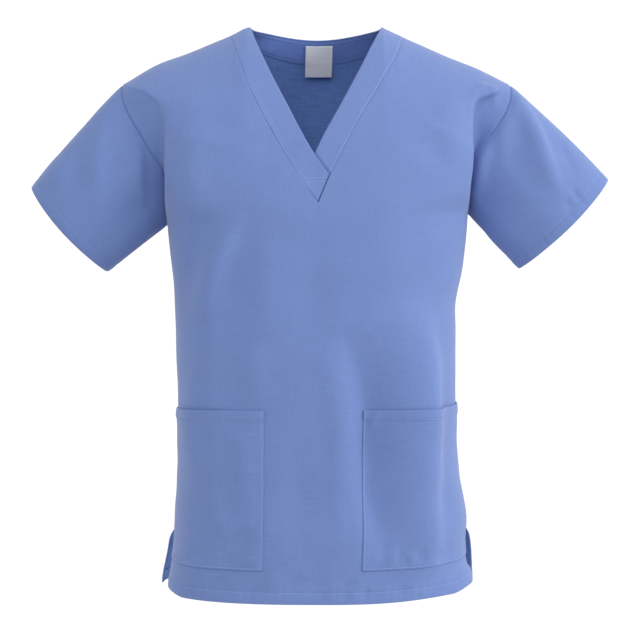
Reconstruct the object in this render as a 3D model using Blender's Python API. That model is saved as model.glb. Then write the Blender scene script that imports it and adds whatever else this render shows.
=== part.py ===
"""A short-sleeved V-neck scrub top in the hollow form it has when worn.

Metres, +Z up. The front faces -Y and the wearer's left is +X. The origin lies between the highest
points of the two shoulders, where a wearer carries the top. Every piece of cloth is a closed wall:
its outer face is worked out from sections of the body, and its inner face lies one wall inside it.
"""

import bpy
import numpy as np

# ---- Driving sizes -------------------------------------------------------------------------------

WALL = 0.0012  # one layer of cloth
HEM_WALL = 0.0024  # cloth turned up and sewn down
BAND_WALL = 0.0018  # the neckband's two layers, pressed flat
LABEL_WALL = 0.0006
GAP = 0.0003  # between pieces at a seam, and under what lies on a panel
ARMHOLE_GAP = 0.0006  # wider, because cloth meets cloth at a sharp angle there

HEM_Z = -0.6905
HEM_WIDTH = 0.013
VENT_TOP_Z = -0.611
ARMPIT_Z = -0.245

POCKET_TOP_Z = -0.465
POCKET_BOTTOM_Z = -0.652
POCKET_HEM = 0.012
POCKET_GAPE = 0.0012  # how far the pocket's mouth stands off the panel

FRONT_SQUARENESS = 2.5  # exponent of the front's superellipse section, 2 is an ellipse
BACK_SQUARENESS = 2.3
FRONT_SHOULDER_ROUNDING = (1.7, 0.6)  # powers of level and of depth towards the shoulder seam

NECK_BACK_DEPTH = 0.075  # the back neck edge, behind the shoulder line
NECK_BACK_DROP = 0.0040
NECK_BACK_SQUARENESS = 2.2
BAND_WIDTH = 0.029
LAP_DEPTH = BAND_WALL + 2 * GAP  # how far the left front band dips under the right one
LAP_REACH = (0.004, 0.020)  # from the right band's edge: still fully dipped, and level again
V_TIP_RELIEF = 0.006  # in levels: how far above the V's tip the front bands start

LABEL_SPAN_X = (-0.0155, 0.0190)
LABEL_SPAN_Z = (-0.0493, -0.0115)
LABEL_INSET = 0.0034  # the label's outer face, in front of the back's outer face

RIGHT, LEFT = 0, 1  # the wearer's sides, and the order of each pair below
SIGN = (-1.0, 1.0)
SIDE_NAMES = ("right", "left")
NECK_POINT_X = (0.083, 0.081)  # where the neckband's free edge crosses the shoulder line
NECK_SEAM_X = (0.107, 0.1045)  # where its seam crosses the shoulder line
POCKET_COLUMN_SHARE = (0.275, 0.225)  # the pocket's inner edge, as a share of the half section

ARMPIT_RISE = (0.002, 0.015)  # how far each side's armpit lies above the level of the chest there
HEM_RISE = (0.001, 0.007)  # and each side's hem above the middle of the hem
RISE_REACH = 0.185  # from the middle to where a rise is whole
RISE_HEIGHT = 0.110  # over which it fades into the body

SLEEVE_HEM_TOP = ((0.3520, -0.1970), (0.3565, -0.1870))  # x outwards and z
SLEEVE_HEM_UNDER = ((0.2591, -0.3005), (0.2466, -0.2968))
SLEEVE_HEM_HALF_DEPTH = 0.052
SLEEVE_HEM_BOW = 0.009  # the hem's middle hangs lower than its ends, along the sleeve
SLEEVE_TOP_CROWN = 0.0025
SLEEVE_FACE_CROWN = 0.009

CLOTH = ("scrub_cloth", (0.18, 0.26, 0.55, 1.0), 0.85)
LABEL_CLOTH = ("label_cloth", (0.46, 0.46, 0.49, 1.0), 0.6)


# ---- Tables: a row for each section ----------------------------------------------------------------


def table(columns, *rows):
    """Named columns of numbers. The first column rises and is what the others are read by."""
    names = columns.split()
    return names[0], dict(zip(names, np.array(rows, float).T))


# The body below the armpit: half widths of each side's seam, and the depth before and behind it.
# Below the vent's top the back panel stands wider than the front.
BODY = table(
    "z      right   left    right_back left_back front  back",
    (-0.6905, 0.1835, 0.1885, 0.1940, 0.1900, 0.122, 0.121),
    (-0.650, 0.1825, 0.1868, 0.1860, 0.1882, 0.121, 0.119),
    (-0.611, 0.1758, 0.1815, 0.1758, 0.1815, 0.120, 0.117),
    (-0.550, 0.1715, 0.1727, 0.1715, 0.1727, 0.119, 0.113),
    (-0.480, 0.1707, 0.1682, 0.1707, 0.1682, 0.118, 0.107),
    (-0.420, 0.1728, 0.1685, 0.1728, 0.1685, 0.118, 0.103),
    (-0.350, 0.1748, 0.1677, 0.1748, 0.1677, 0.121, 0.106),
    (-0.300, 0.1788, 0.1760, 0.1788, 0.1760, 0.124, 0.111),
    (-0.245, 0.1840, 0.1840, 0.1840, 0.1840, 0.124, 0.113),
)

# The shoulder line, from the middle outwards. Inside the neck it is only a guide for the levels.
SHOULDER = table(
    "x      right    left",
    (0.000, 0.0000, 0.0000),
    (0.083, 0.0000, 0.0000),
    (0.107, -0.0105, -0.0132),
    (0.135, -0.0222, -0.0260),
    (0.160, -0.0325, -0.0370),
    (0.195, -0.0452, -0.0508),
    (0.240, -0.0710, -0.0735),
)

# The yoke, by level: 0 at the armpit, 1 at the shoulder seam. The cloth runs round the chest to a
# ridge beside the arm, tucks in behind it and comes out to the armhole seam.
YOKE = table(
    "level ridge_x ridge_y seam_x  seam_y  tuck",
    (0.00, 0.1840, 0.0000, 0.1840, 0.0000, 0.000),
    (0.10, 0.1840, 0.0370, 0.1800, 0.0140, 0.008),
    (0.20, 0.1836, 0.0530, 0.1770, 0.0260, 0.014),
    (0.32, 0.1834, 0.0600, 0.1805, 0.0380, 0.016),
    (0.45, 0.1836, 0.0610, 0.1990, 0.0470, 0.017),
    (0.58, 0.1850, 0.0590, 0.2145, 0.0475, 0.015),
    (0.70, 0.1900, 0.0560, 0.2262, 0.0460, 0.010),
    (0.80, 0.2050, 0.0520, 0.2335, 0.0440, 0.005),
    (0.90, 0.2250, 0.0480, 0.2385, 0.0425, 0.001),
    (1.00, 0.2400, 0.0450, 0.2400, 0.0420, 0.000),
)
ARM_SEAM_SCALE = (1.0, 0.982)  # the left shoulder is a little narrower
BACK_RIDGE = 0.85  # the back's ridge, as a share of the front's
BACK_TUCK = 0.6

# The V, by level: the neckband's seam and its free edge, each with x across the whole front.
V_SEAM = table(
    "level  right    left",
    (0.0890, 0.0000, 0.0000),
    (0.2080, -0.0210, 0.0120),
    (0.3470, -0.0425, 0.0290),
    (0.5100, -0.0640, 0.0500),
    (0.6730, -0.0830, 0.0735),
    (0.8600, -0.0975, 0.0950),
    (1.0000, -0.1070, 0.1045),
)
V_EDGE = table(
    "level  right    left",
    (0.2245, 0.0125, -0.0195),
    (0.3253, -0.0047, -0.0047),
    (0.4286, -0.0190, 0.0075),
    (0.5714, -0.0365, 0.0265),
    (0.7143, -0.0540, 0.0445),
    (0.8570, -0.0700, 0.0615),
    (1.0000, -0.0830, 0.0810),
)

# Folds that hang in the cloth: both ends, how far it stands out there, and the fold's half width.
FRONT_FOLDS = (
    # x0,     z0,      x1,     z1,     out,    half width
    (-0.139, -0.265, -0.148, -0.341, -0.0040, 0.016),
    (-0.096, -0.247, -0.124, -0.360, 0.0020, 0.014),
    (0.0925, -0.397, 0.0855, -0.569, -0.0050, 0.020),
    (0.1400, -0.400, 0.1450, -0.470, 0.0020, 0.014),
)
BACK_FOLDS = (
    (0.120, -0.290, 0.100, -0.430, -0.0040, 0.018),
    (-0.110, -0.380, -0.090, -0.560, -0.0045, 0.020),
    (0.030, -0.360, 0.045, -0.480, -0.0025, 0.018),
)
SLEEVE_FOLDS = (
    (
        (-0.270, -0.130, -0.300, -0.215, -0.0030, 0.013),
        (-0.243, -0.105, -0.246, -0.190, 0.0025, 0.012),
    ),
    (
        (0.2464, -0.1206, 0.2894, -0.2103, -0.0055, 0.012),
        (0.2300, -0.1050, 0.2430, -0.1564, 0.0030, 0.011),
    ),
)

# ---- Where the rows and columns of the cloth lie ---------------------------------------------------

BODY_ROWS = np.array(
    [HEM_Z, HEM_Z + HEM_WIDTH, POCKET_BOTTOM_Z, -0.6315, VENT_TOP_Z, -0.580, -0.545, -0.511]
    + [POCKET_TOP_Z - POCKET_HEM, POCKET_TOP_Z, -0.428, -0.390, -0.352, -0.315, -0.279, ARMPIT_Z]
)
YOKE_LEVELS = np.array(
    [0.045, 0.0890, 0.16, 0.235, 0.305, 0.37, 0.435, 0.50]
    + [0.57, 0.64, 0.71, 0.78, 0.85, 0.91, 0.955, 0.985, 1.0]
)
V_ROW = 1  # the yoke level at the V's tip
POCKET_ROWS = slice(2, 10)
POCKET_COLUMN = 5
COLUMNS = 17
NECK_COLUMN = 8  # of the back panel, where the neck ends and the shoulder seam begins
SLEEVE_ROWS = np.array([0.0, 0.13, 0.28, 0.43, 0.58, 0.73, 0.88, 1.0])
BAND_COLUMNS = np.array([0.0, 0.33, 0.67, 1.0])
RIDGE_COLUMN = 13  # follows the yoke's ridge beside the arm
RIDGE_SHARE_TOP = 0.78  # where that column runs towards the shoulder, as a share of its row
RIDGE_FADE = 0.140  # below the armpit, over which its columns spread out again
SECTION_POINTS = 121  # of the fine line that a row's points are spaced along


# ---- Small mathematics -----------------------------------------------------------------------------


def unit(vectors):
    """Vectors of length one."""
    return vectors / np.linalg.norm(vectors, axis=-1, keepdims=True)


def ease(share):
    """A smooth step from 0 to 1."""
    share = np.clip(share, 0.0, 1.0)
    return share * share * (3.0 - 2.0 * share)


def read(source, column, at):
    """A table's column at any place: a cubic through its rows that never overshoots them."""
    key, columns = source
    places, values = columns[key], columns[column]
    steps = np.diff(places)
    rises = np.diff(values) / steps
    before, after = rises[:-1], rises[1:]
    near, far = 2 * steps[1:] + steps[:-1], steps[1:] + 2 * steps[:-1]
    both = before * after
    weights = near * after + far * before
    same_way = both > 0
    inner = np.where(same_way, (near + far) * both / np.where(same_way, weights, 1.0), 0.0)
    slopes = np.concatenate([rises[:1], inner, rises[-1:]])
    at = np.clip(at, places[0], places[-1])
    row = np.clip(np.searchsorted(places, at, side="right") - 1, 0, len(steps) - 1)
    step = steps[row]
    share = (at - places[row]) / step
    start = values[row] + share**2 * (3 - 2 * share) * (values[row + 1] - values[row])
    bend = share * (1 - share) ** 2 * slopes[row] - share**2 * (1 - share) * slopes[row + 1]
    return start + bend * step


# ---- The body's surface ----------------------------------------------------------------------------


def shoulder_z(side, x):
    """Height of the shoulder line at a distance from the middle."""
    return read(SHOULDER, SIDE_NAMES[side], np.abs(x))


def body_z(side, x, z):
    """Height of a body row out from the middle, where the armpit and the hem rise to the side."""
    armpit = ARMPIT_RISE[side] * ease(1 - (ARMPIT_Z - z) / RISE_HEIGHT)
    hem = HEM_RISE[side] * ease(1 - (z - HEM_Z) / RISE_HEIGHT)
    return z + (armpit + hem) * ease(np.abs(x) / RISE_REACH) ** 2


def level_z(side, x, level, top=None):
    """Height of a yoke level: its share of the way from the armpit up to the shoulder line."""
    foot = body_z(side, x, ARMPIT_Z)
    return foot + ((shoulder_z(side, x) if top is None else top) - foot) * level


def level_at(side, x, z):
    """The yoke level of a height."""
    foot = body_z(side, x, ARMPIT_Z)
    return (z - foot) / (shoulder_z(side, x) - foot)


def arm_x(side, column, level):
    """A yoke column of x, narrowed towards the shoulder on the narrower side."""
    scale = 1 + (ARM_SEAM_SCALE[side] - 1) * level
    return read(YOKE, column, level) * scale


def shoulder_round(level):
    """How the yoke's ridge and armhole seam draw in to the shoulder seam."""
    return np.sqrt(1 - np.clip(level, 0, 1) ** 6)


def yoke_depth(face, x, level):
    """Depth of the yoke's middle at a level, falling to nothing at the shoulder seam."""
    level = np.clip(level, 0, 1)
    if face == "front":
        rise, fall = FRONT_SHOULDER_ROUNDING
        return read(BODY, "front", ARMPIT_Z) * (1 - level**rise) ** fall
    # Below the neck the back stays full almost to the top, and out on the shoulder it rounds off.
    rise = 2.4 + 3.6 * (1 - ease(np.abs(x) / 0.10))
    return read(BODY, "back", ARMPIT_Z) * (1 - level**rise) ** 0.5


def arc_depth(face, side, x, level):
    """Depth of the yoke inside its ridge: a superellipse that ends on the ridge."""
    squareness = FRONT_SQUARENESS if face == "front" else BACK_SQUARENESS
    share = 1.0 if face == "front" else BACK_RIDGE
    ridge_x = arm_x(side, "ridge_x", level)
    ridge_y = read(YOKE, "ridge_y", level) * shoulder_round(level) * share
    inside = np.clip(1 - (np.abs(x) / ridge_x) ** squareness, 0, 1) ** (1 / squareness)
    return ridge_y + np.maximum(yoke_depth(face, x, level) - ridge_y, 0) * inside


def back_neck_z(side, x):
    """Height of the back panel's top edge, from the middle out to the shoulder seam."""
    ends = NECK_SEAM_X[side]
    middle = -NECK_BACK_DROP - BAND_WIDTH
    rise = shoulder_z(side, ends) - middle
    return middle + rise * (np.abs(x) / ends) ** 2


def even_rows(lines, shares):
    """Points on each fine line at the given shares of its length, a list of shares for each."""
    rows = []
    for line, share in zip(lines, shares):
        length = np.concatenate([[0], np.cumsum(np.linalg.norm(np.diff(line, axis=0), axis=1))])
        places = share * length[-1]
        rows.append(np.stack([np.interp(places, length, line[:, k]) for k in range(3)], axis=1))
    return np.array(rows)


def body_lines(face, side):
    """Fine lines round half the body at each body row, from the middle to the side seam."""
    squareness = FRONT_SQUARENESS if face == "front" else BACK_SQUARENESS
    z = BODY_ROWS[:, None]
    column = SIDE_NAMES[side] + ("" if face == "front" else "_back")
    half = read(BODY, column, z)
    depth = read(BODY, face, z)
    parted = 0.003 * np.clip((VENT_TOP_Z - z) / (VENT_TOP_Z - HEM_Z), 0, 1) ** 2
    turn = np.linspace(0, np.pi / 2, SECTION_POINTS)[None, :]
    x = half * np.sin(turn) ** (2 / squareness)
    y = parted + (depth - parted) * np.cos(turn).clip(0) ** (2 / squareness)
    return np.stack([x, y, body_z(side, x, z)], axis=-1)


def yoke_lines(face, side):
    """Fine lines along each yoke row, from the middle or the V out to the armhole seam."""
    level = YOKE_LEVELS[:, None]
    on_front = face == "front"
    ridge_x = arm_x(side, "ridge_x", level)
    ridge = np.concatenate([ridge_x, arc_depth(face, side, ridge_x, level)], axis=1)
    seam = armhole(face, side, YOKE_LEVELS)[:, :2]
    turn = np.sin(np.linspace(0, np.pi / 2, SECTION_POINTS))[None, :] ** 0.8
    if on_front:
        start = np.abs(read(V_SEAM, SIDE_NAMES[side], level))
        x = start + (ridge_x - start) * turn
        z = level_z(side, x, level)
    else:
        corner = NECK_SEAM_X[side]
        neck = corner * turn + 0 * level
        x = np.concatenate([neck, corner + (ridge_x - corner) * turn[:, 1:]], axis=1)
        outside = shoulder_z(side, x[:, SECTION_POINTS:]) + 0 * level
        z = level_z(side, x, level, np.concatenate([back_neck_z(side, neck), outside], axis=1))
    arc = np.stack([x, arc_depth(face, side, x, level_at(side, x, z)), z], axis=-1)
    # Behind the ridge, a Bezier tucks in towards the arm and comes out to the armhole seam.
    tuck = read(YOKE, "tuck", level) * (1.0 if on_front else BACK_TUCK)
    outward = seam[:, :1] - ridge[:, :1]
    swing = np.clip(outward / 0.012, 0, 1)
    first = ridge - np.concatenate([0 * tuck, tuck], axis=1)
    last = seam - np.concatenate([0.35 * outward, 0.5 * tuck * swing], axis=1)
    share = np.linspace(0, 1, SECTION_POINTS)[None, 1:, None]
    bend = (1 - share) ** 3 * ridge[:, None] + 3 * (1 - share) ** 2 * share * first[:, None]
    bend = bend + 3 * (1 - share) * share**2 * last[:, None] + share**3 * seam[:, None]
    bend_z = level_z(side, bend[..., 0], level)
    return np.concatenate([arc, np.concatenate([bend, bend_z[..., None]], axis=-1)], axis=1)


def armhole(face, side, level):
    """Points of the armhole seam: x outwards, y forwards or backwards from the middle, and z."""
    x = arm_x(side, "seam_x", level)
    y = read(YOKE, "seam_y", level) * shoulder_round(level)
    return np.stack([x, y, level_z(side, x, level)], axis=-1)


def half_panel(face, side):
    """Half a panel's outer face: rows up, columns from the middle to the side and armhole."""
    body, yoke = body_lines(face, side), yoke_lines(face, side)
    on_front = face == "front"
    knot = POCKET_COLUMN if on_front else NECK_COLUMN
    steps = np.linalg.norm(np.diff(yoke, axis=1), axis=2)
    length = np.cumsum(steps, axis=1)
    ridge = length[:, SECTION_POINTS * (1 if on_front else 2) - 3 + on_front] / length[:, -1]
    ridge = np.minimum(ridge, RIDGE_SHARE_TOP + (1 - RIDGE_SHARE_TOP) * ease((0.75 - YOKE_LEVELS) / 0.3))
    fade = ease((BODY_ROWS - ARMPIT_Z + RIDGE_FADE) / RIDGE_FADE)
    even = RIDGE_COLUMN / COLUMNS
    ridge = np.concatenate([even + (ridge[0] - even) * fade, ridge])
    if on_front:
        # Above the V's tip the middle columns have gone, so the spacing evens out.
        above = ease(YOKE_LEVELS / 0.4) * (knot / RIDGE_COLUMN * ridge[len(BODY_ROWS) :] - POCKET_COLUMN_SHARE[side])
        inner = POCKET_COLUMN_SHARE[side] + np.concatenate([0 * BODY_ROWS, above])
    else:
        corner = length[-1, SECTION_POINTS - 2] / length[-1, -1]
        inner = np.full(len(ridge), corner)
    knots = [0, knot, RIDGE_COLUMN, COLUMNS]
    shares = [np.interp(np.arange(COLUMNS + 1), knots, [0, a, b, 1]) for a, b in zip(inner, ridge)]
    points = even_rows(list(body) + list(yoke), shares)
    return points * np.array([SIGN[side], -1 if on_front else 1, 1])


# ---- Cloth -----------------------------------------------------------------------------------------


def grid_faces(index, flip):
    """Triangles of a grid of point numbers, facing the other way when flipped."""
    a, b, c, d = index[:-1, :-1], index[:-1, 1:], index[1:, 1:], index[1:, :-1]
    faces = np.concatenate([np.stack(t, axis=-1).reshape(-1, 3) for t in ((a, b, c), (a, c, d))])
    return faces[:, ::-1] if flip else faces


def point_normals(points, faces):
    """Outward normals at the points, weighted by the faces around each."""
    corners = points[faces]
    across = np.cross(corners[:, 1] - corners[:, 0], corners[:, 2] - corners[:, 0])
    normals = np.zeros_like(points)
    for corner in range(3):
        np.add.at(normals, faces[:, corner], across)
    return unit(normals)


def hang_folds(points, normals, folds):
    """Move points along their normals where a fold's line passes, softly across and at its ends."""
    moved = points.copy()
    for x0, z0, x1, z1, out, half_width in folds:
        start, run = np.array([x0, z0]), np.array([x1 - x0, z1 - z0])
        place = points[:, [0, 2]] - start
        along = np.clip(place @ run / (run @ run), 0, 1)
        off = np.linalg.norm(place - along[:, None] * run, axis=1)
        moved += normals * (out * np.exp(-((off / half_width) ** 2)))[:, None]
    return moved


class Cloth:
    """One piece of cloth: its outer face, and which way and how far its inner face lies."""

    def __init__(self, points, faces, wall=WALL):
        self.points = np.array(points, float)
        self.faces = faces
        self.own = point_normals(self.points, faces)
        self.normals = self.own.copy()
        self.wall = np.full(len(self.points), wall)
        self.reach = np.ones(len(self.points))

    def fold(self, folds, share=1.0):
        """Hang folds in the cloth, each point by its share, before it meets its neighbours."""
        moved = hang_folds(self.points, self.own, folds)
        self.points += (moved - self.points) * np.reshape(share, (-1, 1))
        self.own = point_normals(self.points, self.faces)
        self.normals = self.own.copy()

    def meet(self, edge, towards, shared, gap=GAP, reach=None, closed=False):
        """End the cloth half a gap short of a seam and square its wall to the seam's normal."""
        own = self.own[edge]
        line = self.points[edge]
        along = unit(np.roll(line, -1, 0) - np.roll(line, 1, 0) if closed else np.gradient(line, axis=0))
        back = unit(np.cross(own, along))
        back *= np.sign(np.sum(back * (self.points[towards] - self.points[edge])))
        self.points[edge] += back * gap / 2
        self.reach[edge] = 1 / np.maximum(0.5, np.sum(own * shared, axis=1)) if reach is None else reach
        self.normals[edge] = shared

    def meet_square(self, edge, towards):
        """Meet a neighbour at a seam that the cloth crosses along Y, as at a side or a shoulder."""
        along = unit(np.gradient(self.points[edge], axis=0))
        shared = unit(np.cross(along, np.array([0.0, 1.0, 0.0])))
        shared *= np.sign(np.sum(shared * self.own[edge]))
        self.meet(edge, towards, shared)

    def solid(self, name, finish):
        """Make the closed wall an object with its material."""
        inner = self.points - self.normals * (self.wall * self.reach)[:, None]
        count = len(self.points)
        edges = np.concatenate([self.faces[:, [0, 1]], self.faces[:, [1, 2]], self.faces[:, [2, 0]]])
        keys, backwards = edges @ [count, 1], edges @ [1, count]
        rim = edges[~np.isin(keys, backwards)]
        a, b = rim[:, 0], rim[:, 1]
        # Each face of the rim is split along its shorter diagonal, as its neighbour's is at a seam.
        one = np.linalg.norm(self.points[b] - inner[a], axis=1)
        other = np.linalg.norm(self.points[a] - inner[b], axis=1)
        short = (one <= other)[:, None]
        first = np.where(short, np.stack([b, a, a + count], 1), np.stack([b, a, b + count], 1))
        second = np.where(short, np.stack([b, a + count, b + count], 1), np.stack([a, a + count, b + count], 1))
        sides = np.concatenate([first, second])
        faces = np.concatenate([self.faces, self.faces[:, ::-1] + count, sides])
        mesh = bpy.data.meshes.new(name)
        mesh.from_pydata(np.concatenate([self.points, inner]).tolist(), [], faces.tolist())
        mesh.materials.append(material(*finish))
        mesh.shade_smooth()
        mesh.set_sharp_from_angle(angle=np.radians(40))
        thing = bpy.data.objects.new(name, mesh)
        bpy.context.scene.collection.objects.link(thing)
        return thing


def material(name, colour, roughness):
    """A plain cloth material, made once."""
    made = bpy.data.materials.get(name) or bpy.data.materials.new(name)
    made.use_nodes = True
    shader = made.node_tree.nodes["Principled BSDF"]
    shader.inputs["Base Color"].default_value = colour
    shader.inputs["Roughness"].default_value = roughness
    shader.inputs["Metallic"].default_value = 0.0
    return made


class Panel(Cloth):
    """A front or back panel: two half grids that share their middle column where they are joined."""

    def __init__(self, face):
        halves = np.array([half_panel(face, side) for side in (RIGHT, LEFT)])
        joined = len(BODY_ROWS) + V_ROW + 1 if face == "front" else halves.shape[1]
        index = np.arange(halves[..., 0].size).reshape(halves.shape[:3])
        index[1, :joined, 0] = index[0, :joined, 0]
        used, renumbered = np.unique(index, return_inverse=True)
        self.index = renumbered.reshape(index.shape)
        flips = (True, False) if face == "front" else (False, True)
        faces = np.concatenate([grid_faces(self.index[s], flips[s]) for s in (RIGHT, LEFT)])
        super().__init__(halves.reshape(-1, 3)[used], faces)
        self.face = face
        self.fold(FRONT_FOLDS if face == "front" else BACK_FOLDS)
        self.wall[self.index[:, :2]] = HEM_WALL

    def armhole_edge(self, side):
        """Point numbers up the armhole, and those of the next column in."""
        rows = slice(len(BODY_ROWS) - 1, None)
        return self.index[side, rows, -1], self.index[side, rows, -2]

    def side_edge(self, side):
        """Point numbers up the side, from the hem to the armpit."""
        rows = slice(None, len(BODY_ROWS))
        return self.index[side, rows, -1], self.index[side, rows, -2]

    def shoulder_edge(self, side):
        """Point numbers along the shoulder seam, from the neck out."""
        start = 0 if self.face == "front" else NECK_COLUMN
        return self.index[side, -1, start:], self.index[side, -2, start:]

    def neck_edge(self, side):
        """Point numbers along the neckband's seam, from the middle out to the shoulder."""
        if self.face == "front":
            rows = slice(len(BODY_ROWS) + V_ROW, None)
            return self.index[side, rows, 0], self.index[side, rows, 1]
        return self.index[side, -1, : NECK_COLUMN + 1], self.index[side, -2, : NECK_COLUMN + 1]


class Sleeve(Cloth):
    """A sleeve: a tube from the armhole seam to its hem, fuller over its top and its faces."""

    def __init__(self, side):
        levels = np.concatenate([[0.0], YOKE_LEVELS])
        front = armhole("front", side, levels) * [1, -1, 1]
        back = armhole("back", side, levels)[::-1][1:]
        top = np.concatenate([front, back])[:-1]
        steps = np.linalg.norm(np.diff(np.concatenate([top, top[:1]]), axis=0), axis=1)
        length = np.concatenate([[0], np.cumsum(steps)])
        crest = len(levels) - 1
        before, after = length[: crest + 1] / length[crest], length[crest + 1 : -1] - length[crest]
        turn = np.concatenate([np.pi * (1 - before), -np.pi * after / (length[-1] - length[crest])])
        over, under = np.array(SLEEVE_HEM_TOP[side]), np.array(SLEEVE_HEM_UNDER[side])
        middle, half = (over + under) / 2, (over - under) / 2
        outward = unit(np.array([half[1], -half[0]]))
        bow = SLEEVE_HEM_BOW * np.sin(turn)[:, None] ** 2 * outward
        ring = middle + np.cos(turn)[:, None] * half + bow
        hem = np.stack([ring[:, 0], -SLEEVE_HEM_HALF_DEPTH * np.sin(turn), ring[:, 1]], axis=1)
        share = SLEEVE_ROWS[:, None, None]
        tube = top + (hem - top) * share
        crown = np.sin(np.pi * share)
        lift = SLEEVE_TOP_CROWN * np.cos(turn).clip(0)[:, None] * unit(half)
        tube[..., [0, 2]] += crown * lift
        tube[..., 1] -= crown[..., 0] * SLEEVE_FACE_CROWN * np.sin(turn)
        tube[..., 0] *= SIGN[side]
        around = len(top)
        self.index = np.arange(len(SLEEVE_ROWS) * around).reshape(len(SLEEVE_ROWS), around)
        wrapped = np.concatenate([self.index, self.index[:, :1]], axis=1)
        super().__init__(tube.reshape(-1, 3), grid_faces(wrapped, flip=side == LEFT))
        faces_front = ease(-self.points[:, 1] / 0.03)
        self.fold(SLEEVE_FOLDS[side], faces_front * np.repeat(ease(SLEEVE_ROWS / 0.3), around))
        self.wall[self.index[-2:]] = HEM_WALL
        self.crest = crest

    def seam_half(self, face):
        """Point numbers up the front or the back of the armhole seam."""
        if face == "front":
            return self.index[0, : self.crest + 1]
        return np.concatenate([self.index[0, :1], self.index[0, self.crest :][::-1]])


def sew_armhole(side, sleeve, front, back):
    """Let a sleeve and both panels meet at the armhole with one set of normals and wall depths."""
    shared = sleeve.own.copy()
    halves = [(panel, sleeve.seam_half(panel.face)) for panel in (front, back)]
    for panel, seam in halves:
        shared[seam] += panel.own[panel.armhole_edge(side)[0]]
    shared = unit(shared)
    reach = 1 / np.maximum(0.55, np.sum(sleeve.own * shared, axis=1))
    for panel, seam in halves:
        edge, towards = panel.armhole_edge(side)
        panel.meet(edge, towards, shared[seam], ARMHOLE_GAP, reach[seam])
    ring, towards = sleeve.index[0], sleeve.index[1]
    sleeve.meet(ring, towards, shared[ring], ARMHOLE_GAP, reach[ring], closed=True)


class FrontBand(Cloth):
    """Half of the V's neckband, from the shoulder to where it ends behind or over its fellow."""

    def __init__(self, side):
        column = SIDE_NAMES[side]
        levels = YOKE_LEVELS[V_ROW:] + 0.0
        levels[0] += V_TIP_RELIEF
        seam_level = np.sort(np.concatenate([levels, (levels[1:] + levels[:-1]) / 2]))
        lowest = V_EDGE[1]["level"][0]
        share = (seam_level - seam_level[0]) / (1 - seam_level[0])
        edge_level = lowest + (1 - lowest) * share
        seam_x, edge_x = read(V_SEAM, column, seam_level), read(V_EDGE, column, edge_level)
        x = seam_x[:, None] + (edge_x - seam_x)[:, None] * BAND_COLUMNS
        level = seam_level[:, None] + (edge_level - seam_level)[:, None] * BAND_COLUMNS
        y = -arc_depth("front", side, x, level)
        if side == LEFT:
            near, far = LAP_REACH
            off = x - read(V_EDGE, "right", level)
            y = y + LAP_DEPTH * (1 - ease((off - near) / (far - near)))
        points = np.stack([x, y, level_z(side, x, level)], axis=-1)
        self.index = np.arange(x.size).reshape(x.shape)
        super().__init__(points.reshape(-1, 3), grid_faces(self.index, flip=side == LEFT), BAND_WALL)

    def sew(self, side, front):
        """Meet the front panel along the V and the back band at the shoulder."""
        edge = front.neck_edge(side)[0]
        own = front.own[edge]
        whole = np.empty((2 * len(own) - 1, 3))
        whole[::2], whole[1::2] = own, (own[1:] + own[:-1]) / 2
        shared = unit(whole + self.own[self.index[:, 0]])
        front.meet(edge, front.neck_edge(side)[1], shared[::2])
        self.meet(self.index[:, 0], self.index[:, 1], shared)
        self.meet_square(self.index[-1], self.index[-2])


class BackBand(Cloth):
    """The neckband behind the neck, from one shoulder to the other."""

    def __init__(self, back):
        right, left = (back.neck_edge(side)[0] for side in (RIGHT, LEFT))
        self.seam = np.concatenate([right[::-1], left[1:]])
        seam = back.points[self.seam]
        reach = np.where(seam[:, 0] < 0, NECK_SEAM_X[RIGHT], NECK_SEAM_X[LEFT])
        share = np.clip(seam[:, 0] / reach, -1, 1)
        edge_x = share * np.where(share < 0, NECK_POINT_X[RIGHT], NECK_POINT_X[LEFT])
        power = NECK_BACK_SQUARENESS
        edge_y = NECK_BACK_DEPTH * (1 - np.abs(share) ** power) ** (1 / power)
        edge_z = shoulder_z(RIGHT, edge_x) - NECK_BACK_DROP * (1 - share**2)
        edge = np.stack([edge_x, edge_y, edge_z], axis=1)
        points = seam[:, None] + (edge - seam)[:, None] * BAND_COLUMNS[None, :, None]
        self.index = np.arange(points[..., 0].size).reshape(points.shape[:2])
        super().__init__(points.reshape(-1, 3), grid_faces(self.index, flip=False), BAND_WALL)

    def sew(self, back):
        """Meet the back panel below, and the front bands at both shoulders."""
        shared = unit(back.own[self.seam] + self.own[self.index[:, 0]])
        middle = NECK_COLUMN
        for side, part in ((RIGHT, slice(middle, None, -1)), (LEFT, slice(middle, None))):
            edge, towards = back.neck_edge(side)
            back.meet(edge, towards, shared[part])
        self.meet(self.index[:, 0], self.index[:, 1], shared)
        self.meet_square(self.index[0], self.index[1])
        self.meet_square(self.index[-1], self.index[-2])


class Pocket(Cloth):
    """A patch pocket: the front panel's own points, moved out, with its mouth a little open."""

    def __init__(self, side, front):
        block = front.index[side, POCKET_ROWS, POCKET_COLUMN:]
        below = front.points[block]
        out = front.normals[block]
        wall = np.full(block.shape, WALL)
        wall[-2:] = HEM_WALL
        across = np.linspace(0, 1, block.shape[1])
        gape = np.zeros(block.shape)
        gape[-1] = POCKET_GAPE * np.sin(np.pi * across) ** 2
        gape[-2] = 0.6 * gape[-1]
        self.index = np.arange(block.size).reshape(block.shape)
        points = below + out * (GAP + wall + gape)[..., None]
        super().__init__(points.reshape(-1, 3), grid_faces(self.index, flip=side == RIGHT))
        self.normals = out.reshape(-1, 3)
        self.wall = wall.reshape(-1)


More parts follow.
